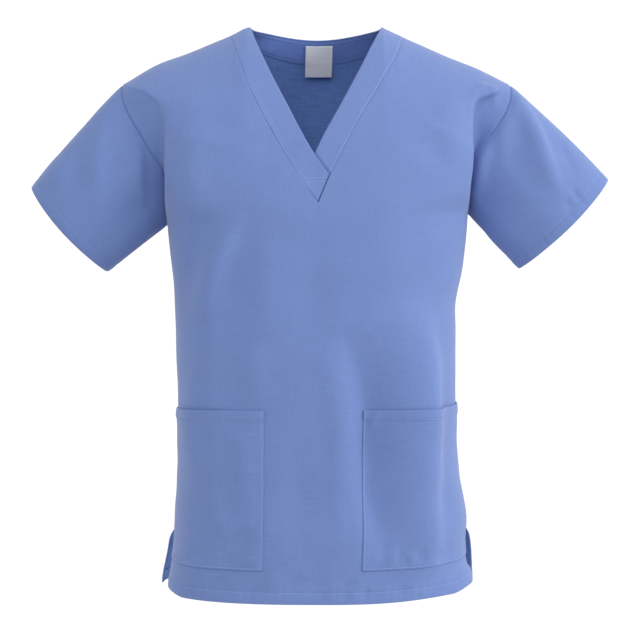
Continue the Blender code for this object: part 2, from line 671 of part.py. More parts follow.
class Label(Cloth):
    """A plain label inside the back neck, in front of the band and the panel."""

    def __init__(self, band, back):
        middle = len(band.index) // 2
        seam, edge = band.points[band.index[middle, 0]], band.points[band.index[middle, -1]]
        x = np.linspace(*LABEL_SPAN_X, 5)[:, None]
        z = np.linspace(*LABEL_SPAN_Z, 6)[None, :]
        side = LEFT
        panel_y = arc_depth("back", side, x, level_at(side, x, z))
        up = (z - seam[2]) / (edge[2] - seam[2])
        share = np.abs(x) / (NECK_SEAM_X[side] + (NECK_POINT_X[side] - NECK_SEAM_X[side]) * up)
        curve = (1 - share**NECK_BACK_SQUARENESS) ** (1 / NECK_BACK_SQUARENESS)
        band_y = (seam[1] + (edge[1] - seam[1]) * up) * curve
        y = np.where(z < seam[2], panel_y, band_y) - LABEL_INSET
        points = np.stack(np.broadcast_arrays(x, y, z), axis=-1)
        self.index = np.arange(x.size * z.size).reshape(x.size, z.size)
        super().__init__(points.reshape(-1, 3), grid_faces(self.index, flip=False), LABEL_WALL)


def main():
    """Cut the pieces, sew them and make their solids."""
    for old in list(bpy.data.objects):
        bpy.data.objects.remove(old, do_unlink=True)
    front, back = Panel("front"), Panel("back")
    sleeves = [Sleeve(side) for side in (RIGHT, LEFT)]
    front_bands = [FrontBand(side) for side in (RIGHT, LEFT)]
    back_band = BackBand(back)
    label = Label(back_band, back)
    for side in (RIGHT, LEFT):
        front_bands[side].sew(side, front)
    back_band.sew(back)
    for side in (RIGHT, LEFT):
        for panel in (front, back):
            panel.meet_square(*panel.shoulder_edge(side))
            panel.meet_square(*panel.side_edge(side))
        sew_armhole(side, sleeves[side], front, back)
    pockets = [Pocket(side, front) for side in (RIGHT, LEFT)]
    front.solid("front_panel", CLOTH)
    back.solid("back_panel", CLOTH)
    back_band.solid("neckband_back", CLOTH)
    label.solid("neck_label", LABEL_CLOTH)
    for side, name in enumerate(SIDE_NAMES):
        sleeves[side].solid("sleeve_" + name, CLOTH)
        front_bands[side].solid("neckband_" + name, CLOTH)
        pockets[side].solid("pocket_" + name, CLOTH)


main()
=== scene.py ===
"""The finished look of a short-sleeved V-neck scrub top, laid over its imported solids.

Metres, +Z up. The front faces -Y and the wearer's left is +X. Each piece of cloth is a surface worked
out from sections of the worn form, with its creases, seams and hems as heights along its normals. A
Solidify modifier then gives it a wall. A piece's UV map is its own measure in metres, across and along.
"""

import logging
from collections.abc import Sequence
from dataclasses import dataclass, field
from enum import Enum

import bpy
import numpy as np
import numpy.typing as npt
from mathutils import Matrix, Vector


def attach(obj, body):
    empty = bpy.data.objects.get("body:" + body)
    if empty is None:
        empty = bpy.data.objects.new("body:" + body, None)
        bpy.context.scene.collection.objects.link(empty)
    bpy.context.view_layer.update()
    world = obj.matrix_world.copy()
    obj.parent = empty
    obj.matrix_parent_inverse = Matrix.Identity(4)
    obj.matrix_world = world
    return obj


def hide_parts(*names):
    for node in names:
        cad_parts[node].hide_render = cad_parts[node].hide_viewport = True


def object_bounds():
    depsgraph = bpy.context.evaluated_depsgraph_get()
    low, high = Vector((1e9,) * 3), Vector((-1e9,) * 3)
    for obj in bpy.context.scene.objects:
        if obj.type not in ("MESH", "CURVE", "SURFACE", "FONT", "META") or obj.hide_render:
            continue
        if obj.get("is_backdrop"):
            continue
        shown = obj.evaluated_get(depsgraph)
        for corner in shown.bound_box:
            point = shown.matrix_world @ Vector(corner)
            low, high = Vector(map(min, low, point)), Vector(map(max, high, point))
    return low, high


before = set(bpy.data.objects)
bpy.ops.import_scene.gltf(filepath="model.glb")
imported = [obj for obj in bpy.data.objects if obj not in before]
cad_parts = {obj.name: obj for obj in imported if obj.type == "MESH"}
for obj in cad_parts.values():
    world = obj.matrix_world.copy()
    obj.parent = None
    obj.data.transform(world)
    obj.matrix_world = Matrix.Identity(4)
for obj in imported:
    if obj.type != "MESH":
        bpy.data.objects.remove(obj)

Array = npt.NDArray[np.float64]
Faces = npt.NDArray[np.int64]
Pair = tuple[float, float]
Triple = tuple[float, float, float]

LOG = logging.getLogger("scrub_top")
BODY_NAME = "root"

MM = 0.001
FINE_STEPS = 1500


# ---- Named options ----


class Side(Enum):
    """The wearer's two sides."""

    RIGHT = 0
    LEFT = 1

    @property
    def sign(self) -> float:
        """Which way the side lies along X."""
        return -1.0 if self is Side.RIGHT else 1.0

    @property
    def word(self) -> str:
        """The side's name in tables and in node names."""
        return self.name.lower()


class Face(Enum):
    """The top's front and back."""

    FRONT = "front"
    BACK = "back"

    @property
    def forward(self) -> float:
        """Which way the face lies along Y."""
        return -1.0 if self is Face.FRONT else 1.0


# ---- Small mathematics ----


def ease(share: Array | float) -> Array:
    """A smooth step, 3s^2 - 2s^3, held at 0 below 0 and at 1 above 1."""
    share = np.clip(share, 0.0, 1.0)
    return share * share * (3.0 - 2.0 * share)


def bell(distance: Array, reach: float) -> Array:
    """A bell of height 1, e^-(d/r)^2."""
    return np.exp(-((distance / reach) ** 2))


def unit(vectors: Array) -> Array:
    """Vectors of length one."""
    return vectors / np.maximum(np.linalg.norm(vectors, axis=-1, keepdims=True), 1e-12)


def running_length(points: Array) -> Array:
    """Length along each line of points, from its first point, along the last axis but one."""
    steps = np.linalg.norm(np.diff(points, axis=-2), axis=-1)
    return np.concatenate([np.zeros_like(steps[..., :1]), np.cumsum(steps, axis=-1)], axis=-1)


class Profile:
    """Named columns of numbers, read anywhere along the first one by a cubic that never overshoots."""

    def __init__(self, columns: str, *rows: tuple[float, ...]) -> None:
        """Keep the table.

        Args:
            columns: the columns' names, with a space between them; the first is what rows are read by.
            rows: a tuple of numbers for each row, with a rising first number.
        """
        names = columns.split()
        self.key = names[0]
        self.columns = dict(zip(names, np.array(rows, float).T))

    def at(self, name: str, place: Array | float) -> Array:
        """Read a column at any places.

        Each stretch is a cubic between its two rows. A row's slope is the weighted harmonic mean of
        the slopes beside it, or 0 where they differ in sign.

        Args:
            name: the column's name.
            place: values of the first column.

        Returns:
            The column's values there.
        """
        places, values = self.columns[self.key], self.columns[name]
        steps = np.diff(places)
        rises = np.diff(values) / steps
        before, after = rises[:-1], rises[1:]
        near, far = 2 * steps[1:] + steps[:-1], steps[1:] + 2 * steps[:-1]
        both = before * after
        same_way = both > 0
        weights = np.where(same_way, near * after + far * before, 1.0)
        inner = np.where(same_way, (near + far) * both / weights, 0.0)
        slopes = np.concatenate([rises[:1], inner, rises[-1:]])
        place = np.clip(place, places[0], places[-1])
        row = np.clip(np.searchsorted(places, place, side="right") - 1, 0, len(steps) - 1)
        share = (place - places[row]) / steps[row]
        start = values[row] + share**2 * (3 - 2 * share) * (values[row + 1] - values[row])
        bend = share * (1 - share) ** 2 * slopes[row] - share**2 * (1 - share) * slopes[row + 1]
        return start + bend * steps[row]


def millimetres(*sizes: float) -> tuple[float, ...]:
    """Sizes in millimetres, as metres."""
    return tuple(size * MM for size in sizes)


def read_at(values: Array, places: Array, wanted: Array | float) -> Array:
    """Rows of values, one for each rising place, read in straight lines at wanted places."""
    return np.stack([np.interp(wanted, places, column) for column in values.T], axis=-1)


def spread(lines: Array, lengths: Array) -> Array:
    """Points on each fine line at the lengths given for it: rows by columns by 3."""
    return np.array([read_at(line, running_length(line), wanted) for line, wanted in zip(lines, lengths)])


def nearest(values: Array, wanted: float) -> int:
    """Which of the values is nearest to the wanted one."""
    return int(np.argmin(np.abs(values - wanted)))


def crowded(length: float, count: int, start: Sequence[float] = (), end: Sequence[float] = ()) -> Array:
    """Places along a length, evenly spaced between given ones near its start and its end.

    Args:
        length: the whole length.
        count: how many places there are in all.
        start: distances from the start, without 0, rising.
        end: distances from the end, without 0, rising.

    Returns:
        The places, rising from 0 to the length.
    """
    low, high = [0.0, *start], [0.0, *end]
    middle = np.linspace(low[-1], length - high[-1], count - len(start) - len(end))
    return np.concatenate([low[:-1], middle, length - np.array(high[-2::-1])])


def levels_along(
    path: Array, levels: Array, count: int, start: Sequence[float] = (), end: Sequence[float] = ()
) -> Array:
    """Levels at crowded places along a path that was worked out for fine levels."""
    length = running_length(path)
    return np.interp(crowded(length[-1], count, start, end), length, levels)


def column_length(points: Array) -> Array:
    """Length down each column of a grid, from its first row."""
    return np.swapaxes(running_length(np.swapaxes(points, -3, -2)), -2, -1)


def as_columns(*values: Array) -> Array:
    """Values over a grid, as the columns of a list."""
    return np.stack([value.ravel() for value in values], axis=1)


# ---- Creases ----


@dataclass(frozen=True)
class Crease:
    """A soft ridge, or a trough where its height is below 0. Its sizes and places are in millimetres.

    Attributes:
        height: how far it stands out of the cloth at its middle.
        reach: its half width.
        path: places (x, z) that it runs through, seen from the front.
        lean: from -1 to 1, how much wider the side on the right of its path is.
        start: how high it still is at the start of its path, as a share.
        end: the same at its end.
    """

    height: float
    reach: float
    path: tuple[Pair, ...]
    lean: float = 0.0
    start: float = 0.0
    end: float = 0.0

    def on(self, x: Array, z: Array) -> Array:
        """The crease's height at places on the cloth.

        Across it is a bell of the distance to the path, and along it the height rises from the start's
        share to 1 and falls to the end's share, on half a sine.

        Args:
            x: places' x.
            z: places' z.

        Returns:
            The height at each place.
        """
        path, width = np.array(self.path) * MM, self.reach * MM
        legs = np.diff(path, axis=0)
        lengths = np.linalg.norm(legs, axis=1)
        reached = np.concatenate([[0], np.cumsum(lengths)])
        best = np.full(x.shape, np.inf)
        share, right = np.zeros(x.shape), np.zeros(x.shape)
        for corner, leg, length, before in zip(path, legs, lengths, reached):
            dx, dz = x - corner[0], z - corner[1]
            along = np.clip((dx * leg[0] + dz * leg[1]) / length**2, 0, 1)
            off = np.hypot(dx - along * leg[0], dz - along * leg[1])
            closer = off < best
            best = np.where(closer, off, best)
            share = np.where(closer, (before + along * length) / reached[-1], share)
            right = np.where(closer, (dx * leg[1] - dz * leg[0]) / length, right)
        low = self.start + (self.end - self.start) * share
        rise = self.height * MM * (low + (1 - low) * np.sin(np.pi * share))
        return rise * bell(best, width * (1 + self.lean * np.tanh(right / width)))


def relief(creases: Sequence[Crease], x: Array, z: Array) -> Array:
    """Height of several creases together."""
    return sum((crease.on(x, z) for crease in creases), np.zeros(x.shape))


@dataclass(frozen=True)
class Rib:
    """A line along an edge that stands out, or in where its height is below 0. Its sizes are in mm.

    Attributes:
        height: how far it stands out.
        off: how far from the edge it lies.
        reach: its half width.
    """

    height: float
    off: float
    reach: float

    def at(self, distance: Array) -> Array:
        """Its height at distances from the edge, h e^-((d - off) / reach)^2."""
        return self.height * MM * bell(distance - self.off * MM, self.reach * MM)


def waves(across: Array, along: Array, seed: int, length: float, count: int = 14) -> Array:
    """Slow unevenness of cloth: a mean of sine waves of one length that run in every direction.

    Args:
        across: the places' first measure.
        along: their second.
        seed: of the waves' directions and phases.
        length: about how long a wave is.
        count: how many waves are summed.

    Returns:
        Heights with a root mean square of about 1.
    """
    draw = np.random.default_rng(seed)
    turn = draw.uniform(0, np.pi, count)
    rate = 2 * np.pi / (length * draw.uniform(0.7, 1.5, count))
    phase = draw.uniform(0, 2 * np.pi, count)
    total = np.zeros(across.shape)
    for angle, speed, shift in zip(turn, rate, phase):
        total += np.sin(speed * (np.cos(angle) * across + np.sin(angle) * along) + shift)
    return total * np.sqrt(2 / count)


def puckers(along: Array, seed: int, length: float = 9 * MM) -> Array:
    """Small gathers beside a line of stitching, uneven in height and spacing.

    Sine waves of three near lengths are summed, and a fourth, slow one makes them come in bursts.

    Args:
        along: the places' measure along the stitching.
        seed: of the phases.
        length: about how long a ripple is.

    Returns:
        Heights of about -1 to 1.
    """
    draw = np.random.default_rng(seed)
    phase = draw.uniform(0, 2 * np.pi, 4)
    rate = 2 * np.pi / length
    ripple = np.sin(rate * along + phase[0]) + 0.8 * np.sin(1.37 * rate * along + phase[1])
    ripple += 0.7 * np.sin(0.73 * rate * along + phase[2])
    burst = 0.55 + 0.45 * np.sin(0.17 * rate * along + phase[3])
    return ripple * burst / 1.6


# ---- The worn form ----


@dataclass(frozen=True)
class Form:
    """The sections that the cloth is laid on. Half sections run outwards in x, with y as depth.

    A level runs from 0 at the armpit to 1 at the shoulder line. Where the two sides differ, a size is
    a pair, for the right and the left.
    """

    # Heights at the middle, and how much higher the armpit and the hem are out at the side.
    hem_z: float = -0.6905
    vent_top_z: float = -0.611
    armpit_z: float = -0.245
    armpit_rise: Pair = (0.002, 0.015)
    hem_rise: Pair = (0.001, 0.007)
    rise_reach: float = 0.185
    rise_height: float = 0.110
    # The hem's corners, and how far the vents stand open at the hem.
    corner_rise: Pair = (0.006, 0.006)
    corner_x: float = 0.160
    corner_reach: float = 0.028
    vent_parting: float = 0.003
    # How square the sections are, and the powers by which the yoke falls to the shoulder seam. The
    # back's rise is the first of its pair far out, and the two together at the middle.
    front_squareness: float = 2.5
    back_squareness: float = 2.3
    front_shoulder_rounding: Pair = (1.7, 0.6)
    back_rise: Pair = (2.4, 3.6)
    back_rise_reach: float = 0.10
    back_fall: float = 0.5
    # The neck's edge behind, and where the neckband and its seam meet the shoulder seams.
    neck_back_depth: float = 0.075
    neck_back_drop: float = 0.0040
    neck_back_squareness: float = 1.8
    neck_back_swell: float = 0.0015
    band_width: float = 0.029
    neck_point_x: Pair = (0.083, 0.078)
    neck_seam_x: Pair = (0.107, 0.1045)
    # The armhole seam: its scale at the shoulder, and its swell, which lies round a level with a
    # reach. It faces away from the arm's middle, and below the turn's level to the side.
    arm_seam_scale: Pair = (1.0, 0.982)
    arm_seam_swell: Pair = (0.007, 0.0)
    arm_swell_level: Pair = (0.32, 0.18)
    arm_swell_start: float = 0.1
    arm_middle: Triple = (0.200, 0.0, -0.150)
    arm_turn_level: float = 0.15
    # The ridge beside the arm and the tuck behind it: the back's shares of them, the ridge's swell
    # round a level with a reach, and how the tuck fades from a level on.
    back_ridge: float = 0.85
    back_tuck: float = 0.6
    ridge_swell: Pair = (0.008, 0.0)
    ridge_swell_level: Pair = (0.68, 0.30)
    tuck_fade: Pair = (0.85, 0.0)
    tuck_fade_level: Pair = (0.38, 0.22)
    # The handle of the tuck's curve at the seam, the way out over which its turn comes in, and how
    # the fine lines' points are spaced.
    seam_handle: Pair = (0.35, 0.5)
    swing_reach: float = 0.012
    crowding: float = 0.8
    section_points: int = 161

    body: Profile = Profile(
        "z      right   left    right_back left_back front  back",
        (-0.6905, 0.1838, 0.1885, 0.1925, 0.1905, 0.1195, 0.1210),
        (-0.6770, 0.1822, 0.1868, 0.1912, 0.1900, 0.1184, 0.1205),
        (-0.6650, 0.1802, 0.1815, 0.1887, 0.1894, 0.1180, 0.1198),
        (-0.6500, 0.1780, 0.1804, 0.1858, 0.1887, 0.1183, 0.1190),
        (-0.6300, 0.1756, 0.1800, 0.1825, 0.1866, 0.1192, 0.1182),
        (-0.6110, 0.1746, 0.1802, 0.1746, 0.1802, 0.1197, 0.1170),
        (-0.5500, 0.1715, 0.1727, 0.1715, 0.1727, 0.1202, 0.1130),
        (-0.4800, 0.1707, 0.1682, 0.1707, 0.1682, 0.1200, 0.1070),
        (-0.4200, 0.1728, 0.1685, 0.1728, 0.1685, 0.1200, 0.1030),
        (-0.3500, 0.1748, 0.1677, 0.1748, 0.1677, 0.1210, 0.1060),
        (-0.3000, 0.1780, 0.1775, 0.1780, 0.1775, 0.1225, 0.1110),
        (-0.2450, 0.1840, 0.1840, 0.1840, 0.1840, 0.1235, 0.1130),
    )
    shoulder: Profile = Profile(
        "x      right    left",
        (0.000, 0.0000, 0.0000),
        (0.078, 0.0000, 0.0000),
        (0.083, 0.0000, -0.0022),
        (0.107, -0.0105, -0.0137),
        (0.135, -0.0222, -0.0260),
        (0.160, -0.0325, -0.0370),
        (0.195, -0.0452, -0.0508),
        (0.240, -0.0710, -0.0735),
    )
    yoke: Profile = Profile(
        "level ridge_x ridge_y seam_x  seam_y  tuck",
        (0.00, 0.1840, 0.0000, 0.1840, 0.0000, 0.000),
        (0.10, 0.1840, 0.0370, 0.1800, 0.0140, 0.008),
        (0.20, 0.1836, 0.0530, 0.1770, 0.0260, 0.014),
        (0.32, 0.1834, 0.0600, 0.1805, 0.0380, 0.016),
        (0.45, 0.1836, 0.0610, 0.1990, 0.0470, 0.017),
        (0.58, 0.1850, 0.0590, 0.2145, 0.0475, 0.015),
        (0.70, 0.1900, 0.0560, 0.2262, 0.0460, 0.010),
        (0.80, 0.2050, 0.0520, 0.2335, 0.0440, 0.005),
        (0.90, 0.2250, 0.0480, 0.2385, 0.0425, 0.001),
        (1.00, 0.2400, 0.0450, 0.2400, 0.0420, 0.000),
    )
    v_seam: Profile = Profile(
        "level  right    left",
        (0.0890, 0.0000, 0.0000),
        (0.2080, -0.0210, 0.0120),
        (0.3470, -0.0425, 0.0290),
        (0.5100, -0.0640, 0.0500),
        (0.6730, -0.0830, 0.0735),
        (0.8600, -0.0975, 0.0950),
        (1.0000, -0.1070, 0.1045),
    )
    v_edge: Profile = Profile(
        "level  right    left",
        (0.2245, 0.0125, -0.0195),
        (0.3253, -0.0047, -0.0047),
        (0.4286, -0.0190, 0.0075),
        (0.5714, -0.0365, 0.0265),
        (0.7143, -0.0540, 0.0445),
        (0.8570, -0.0700, 0.0615),
        (1.0000, -0.0830, 0.0780),
    )

    def squareness(self, face: Face) -> float:
        """The power of a face's superellipse."""
        return self.front_squareness if face is Face.FRONT else self.back_squareness

    def shoulder_z(self, side: Side, x: Array) -> Array:
        """Height of the shoulder line at a distance from the middle."""
        return self.shoulder.at(side.word, np.abs(x))

    def body_z(self, side: Side, x: Array, z: Array | float) -> Array:
        """Height of a body row out from the middle, where the armpit and the hem rise to the side.

        Args:
            side: the wearer's side.
            x: distances from the middle.
            z: the row's height at the middle.

        Returns:
            z plus the rises, which ease in outwards and fade over their own height. The hem rises
            once more at its corner.
        """
        armpit = self.armpit_rise[side.value] * ease(1 - (self.armpit_z - z) / self.rise_height)
        near_hem = ease(1 - (z - self.hem_z) / self.rise_height)
        out = ease(np.abs(x) / self.rise_reach) ** 2
        corner = self.corner_rise[side.value] * ease((np.abs(x) - self.corner_x) / self.corner_reach)
        return z + (armpit + self.hem_rise[side.value] * near_hem) * out + corner * near_hem

    def level_z(self, side: Side, x: Array, level: Array, top: Array | None = None) -> Array:
        """Height of a level: its share of the way from the armpit's row to the shoulder line or the top."""
        foot = self.body_z(side, x, self.armpit_z)
        return foot + ((self.shoulder_z(side, x) if top is None else top) - foot) * level

    def level_at(self, side: Side, x: Array, z: Array) -> Array:
        """The yoke level of a height."""
        foot = self.body_z(side, x, self.armpit_z)
        return (z - foot) / (self.shoulder_z(side, x) - foot)

    def arm_x(self, side: Side, column: str, level: Array) -> Array:
        """A yoke column of x, narrowed towards the shoulder on the narrower side.

        The seam swells outwards above the armpit by a bell over the level.

        Args:
            side: the wearer's side.
            column: the column's name, for the ridge or the seam.
            level: yoke levels.

        Returns:
            The distances from the middle.
        """
        x = self.yoke.at(column, level) * (1 + (self.arm_seam_scale[side.value] - 1) * level)
        if column != "seam_x":
            return x
        middle, reach = self.arm_swell_level
        swell = self.arm_seam_swell[side.value] * bell(level - middle, reach)
        return x + swell * ease(level / self.arm_swell_start)

    def shoulder_round(self, level: Array) -> Array:
        """How the ridge and the armhole draw in to the shoulder seam: (1 - level^6)^0.5."""
        return np.sqrt(1 - np.clip(level, 0, 1) ** 6)

    def yoke_depth(self, face: Face, x: Array, level: Array) -> Array:
        """Depth of the yoke's middle, falling to nothing at the shoulder seam.

        It is depth (1 - level^rise)^fall. Below the neck the back's rise is large, so the back stays
        full almost to its top, and further out it rounds off sooner.

        Args:
            face: front or back.
            x: distances from the middle.
            level: yoke levels.

        Returns:
            The depths.
        """
        level = np.clip(level, 0, 1)
        full = self.body.at(face.value, self.armpit_z)
        if face is Face.FRONT:
            rise, fall = self.front_shoulder_rounding
            return full * (1 - level**rise) ** fall
        outside, more = self.back_rise
        rise = outside + more * (1 - ease(np.abs(x) / self.back_rise_reach))
        return full * (1 - level**rise) ** self.back_fall

    def arc_depth(self, face: Face, side: Side, x: Array, level: Array) -> Array:
        """Depth of the yoke inside its ridge, a superellipse across that ends on the ridge.

        Args:
            face: front or back.
            side: the wearer's side.
            x: distances from the middle.
            level: yoke levels.

        Returns:
            The depths.
        """
        squareness = self.squareness(face)
        share = 1.0 if face is Face.FRONT else self.back_ridge
        ridge_x = self.arm_x(side, "ridge_x", level)
        middle, reach = self.ridge_swell_level
        swell = self.ridge_swell[side.value] * bell(level - middle, reach)
        ridge_y = (self.yoke.at("ridge_y", level) + swell) * self.shoulder_round(level) * share
        inside = np.clip(1 - (np.abs(x) / ridge_x) ** squareness, 0, 1) ** (1 / squareness)
        return ridge_y + np.maximum(self.yoke_depth(face, x, level) - ridge_y, 0) * inside

    def yoke_points(self, face: Face, side: Side, x: Array, level: Array) -> Array:
        """Points of the yoke inside its ridge: x, y as depth, z."""
        depth = self.arc_depth(face, side, x, level)
        return np.stack([x, depth, self.level_z(side, x, level)], axis=-1)

    def back_neck_z(self, side: Side, x: Array) -> Array:
        """Height of the back panel's neck edge: a parabola from the middle to the shoulder seam.

        Args:
            side: the wearer's side.
            x: distances from the middle.

        Returns:
            The heights.
        """
        ends = self.neck_seam_x[side.value]
        middle = -self.neck_back_drop - self.band_width
        return middle + (self.shoulder_z(side, ends) - middle) * (np.abs(x) / ends) ** 2

    def armhole(self, side: Side, level: Array) -> Array:
        """Points of the armhole seam.

        Args:
            side: the wearer's side.
            level: yoke levels.

        Returns:
            x outwards, y as depth and z for each level.
        """
        x = self.arm_x(side, "seam_x", level)
        y = self.yoke.at("seam_y", level) * self.shoulder_round(level)
        return np.stack([x, y, self.level_z(side, x, level)], axis=-1)

    def body_lines(self, face: Face, side: Side, rows: Array) -> Array:
        """Fine lines round half the body, from the middle to the side seam.

        Each is a quarter of a superellipse, x = half sin(t)^(2/n) and y = depth cos(t)^(2/n).

        Args:
            face: front or back.
            side: the wearer's side.
            rows: heights of the lines at the middle.

        Returns:
            Rows by fine points by 3.
        """
        squareness = self.squareness(face)
        z = rows[:, None]
        half = self.body.at(side.word + ("" if face is Face.FRONT else "_back"), z)
        depth = self.body.at(face.value, z)
        drop = (self.vent_top_z - z) / (self.vent_top_z - self.hem_z)
        parted = self.vent_parting * np.clip(drop, 0, 1) ** 2
        turn = np.linspace(0, np.pi / 2, self.section_points)[None, :]
        x = half * np.sin(turn) ** (2 / squareness)
        y = parted + (depth - parted) * np.cos(turn).clip(0) ** (2 / squareness)
        return np.stack([x, y, self.body_z(side, x, z)], axis=-1)

    def yoke_lines(self, face: Face, side: Side, levels: Array) -> Array:
        """Fine lines along yoke rows, from the middle or the V out to the armhole seam.

        Inside the ridge a line follows the arc. Behind the ridge a Bezier tucks in towards the arm and
        comes out to the armhole seam.

        Args:
            face: front or back.
            side: the wearer's side.
            levels: yoke levels of the lines.

        Returns:
            Rows by fine points by 3.
        """
        level = levels[:, None]
        ridge_x = self.arm_x(side, "ridge_x", level)
        ridge = np.concatenate([ridge_x, self.arc_depth(face, side, ridge_x, level)], axis=1)
        seam = self.armhole(side, levels)[:, :2]
        turn = np.sin(np.linspace(0, np.pi / 2, self.section_points))[None, :] ** self.crowding
        if face is Face.FRONT:
            start = np.abs(self.v_seam.at(side.word, level))
            x = start + (ridge_x - start) * turn
            z = self.level_z(side, x, level)
        else:
            corner = self.neck_seam_x[side.value]
            neck = corner * turn + 0 * level
            x = np.concatenate([neck, corner + (ridge_x - corner) * turn[:, 1:]], axis=1)
            outside = self.shoulder_z(side, x[:, self.section_points :]) + 0 * level
            top = np.concatenate([self.back_neck_z(side, neck), outside], axis=1)
            z = self.level_z(side, x, level, top)
        arc = np.stack([x, self.arc_depth(face, side, x, self.level_at(side, x, z)), z], axis=-1)
        tuck = self.yoke.at("tuck", level) * (1.0 if face is Face.FRONT else self.back_tuck)
        fade_level, fade_in = self.tuck_fade_level
        tuck = tuck * (1 - self.tuck_fade[side.value] * ease((level - fade_level) / fade_in))
        outward = seam[:, :1] - ridge[:, :1]
        swing = np.clip(outward / self.swing_reach, 0, 1)
        away, back = self.seam_handle
        first = ridge - np.concatenate([0 * tuck, tuck], axis=1)
        last = seam - np.concatenate([away * outward, back * tuck * swing], axis=1)
        share = np.linspace(0, 1, self.section_points)[None, 1:, None]
        bend = (1 - share) ** 3 * ridge[:, None] + 3 * (1 - share) ** 2 * share * first[:, None]
        bend = bend + 3 * (1 - share) * share**2 * last[:, None] + share**3 * seam[:, None]
        bend_z = self.level_z(side, bend[..., 0], level)
        return np.concatenate([arc, np.concatenate([bend, bend_z[..., None]], axis=-1)], axis=1)

    def arm_out(self, side: Side, face: Face, level: Array) -> Array:
        """Which way is out of the armhole seam, one direction for all the cloth that meets there.

        It is the way from the arm's middle to the seam, less its share along the seam. At the armpit
        it turns to the side, as it does all down the side seam.

        Args:
            side: the wearer's side.
            face: front or back.
            level: levels along the seam.

        Returns:
            A unit direction for each level.
        """
        turned = np.array([side.sign, face.forward, 1.0])
        fine = np.linspace(0, 1, 400)
        curve = self.armhole(side, fine)
        tangent = unit(np.gradient(curve, axis=0))
        along = read_at(tangent, fine, level)
        out = self.armhole(side, level) - np.array(self.arm_middle)
        out = unit(out - along * np.sum(out * along, axis=-1, keepdims=True))
        near = (1 - ease(level / self.arm_turn_level))[:, None]
        return unit(out * (1 - near) + np.array([1.0, 0.0, 0.0]) * near) * turned


# ---- Cloth ----

UP = np.array([0.0, 0.0, 1.0])
FORWARD = np.array([0.0, -1.0, 0.0])
NECK_OUT = unit(np.array([0.0, 0.55, 1.0]))


def numbered(points: Array) -> Faces:
    """The number of each point of a grid."""
    return np.arange(points[..., 0].size).reshape(points.shape[:-1])


def wrapped(index: Faces) -> Faces:
    """A grid's numbers with its first column once more at the end, for a tube."""
    return np.concatenate([index, index[:, :1]], axis=1)


def grid_faces(index: Faces, flip: bool) -> Faces:
    """Quads between the point numbers of a grid.

    Args:
        index: the point numbers, rows by columns.
        flip: whether they face the other way.

    Returns:
        Four point numbers for each quad.
    """
    corners = (index[:-1, :-1], index[:-1, 1:], index[1:, 1:], index[1:, :-1])
    faces = np.stack(corners, axis=-1).reshape(-1, 4)
    return faces[:, ::-1] if flip else faces


def diagonal_cross(points: Array, faces: Faces) -> Array:
    """The cross product of each quad's diagonals, which is twice its area along its normal."""
    corners = points[faces]
    return np.cross(corners[:, 2] - corners[:, 0], corners[:, 3] - corners[:, 1])


def into_scene(name: str, data: bpy.types.ID) -> bpy.types.Object:
    """Put an object into the scene.

    Args:
        name: its name.
        data: its mesh, light or camera.

    Returns:
        The object.
    """
    thing = bpy.data.objects.new(name, data)
    bpy.context.scene.collection.objects.link(thing)
    return thing


def new_object(
    name: str, points: Array, faces: list[list[int]], *materials: bpy.types.Material
) -> bpy.types.Object:
    """Put a smooth mesh with its materials into the scene.

    Args:
        name: the name of the object and of its mesh.
        points: n by 3.
        faces: the point numbers round each face.
        materials: its materials, in order.

    Returns:
        The object.
    """
    mesh = bpy.data.meshes.new(name)
    mesh.from_pydata(points.tolist(), [], faces)
    for material in materials:
        mesh.materials.append(material)
    mesh.shade_smooth()
    return into_scene(name, mesh)


@dataclass(frozen=True)
class Cut:
    """What a piece was cut to, laid flat: its width, its length and its area."""

    width: float
    length: float
    area: float


@dataclass(frozen=True)
class Wall:
    """How thick cloth is: one layer, and the most that any piece has at its hems."""

    layer: float = 0.8 * MM
    turned: float = 1.6 * MM


WALL = Wall()


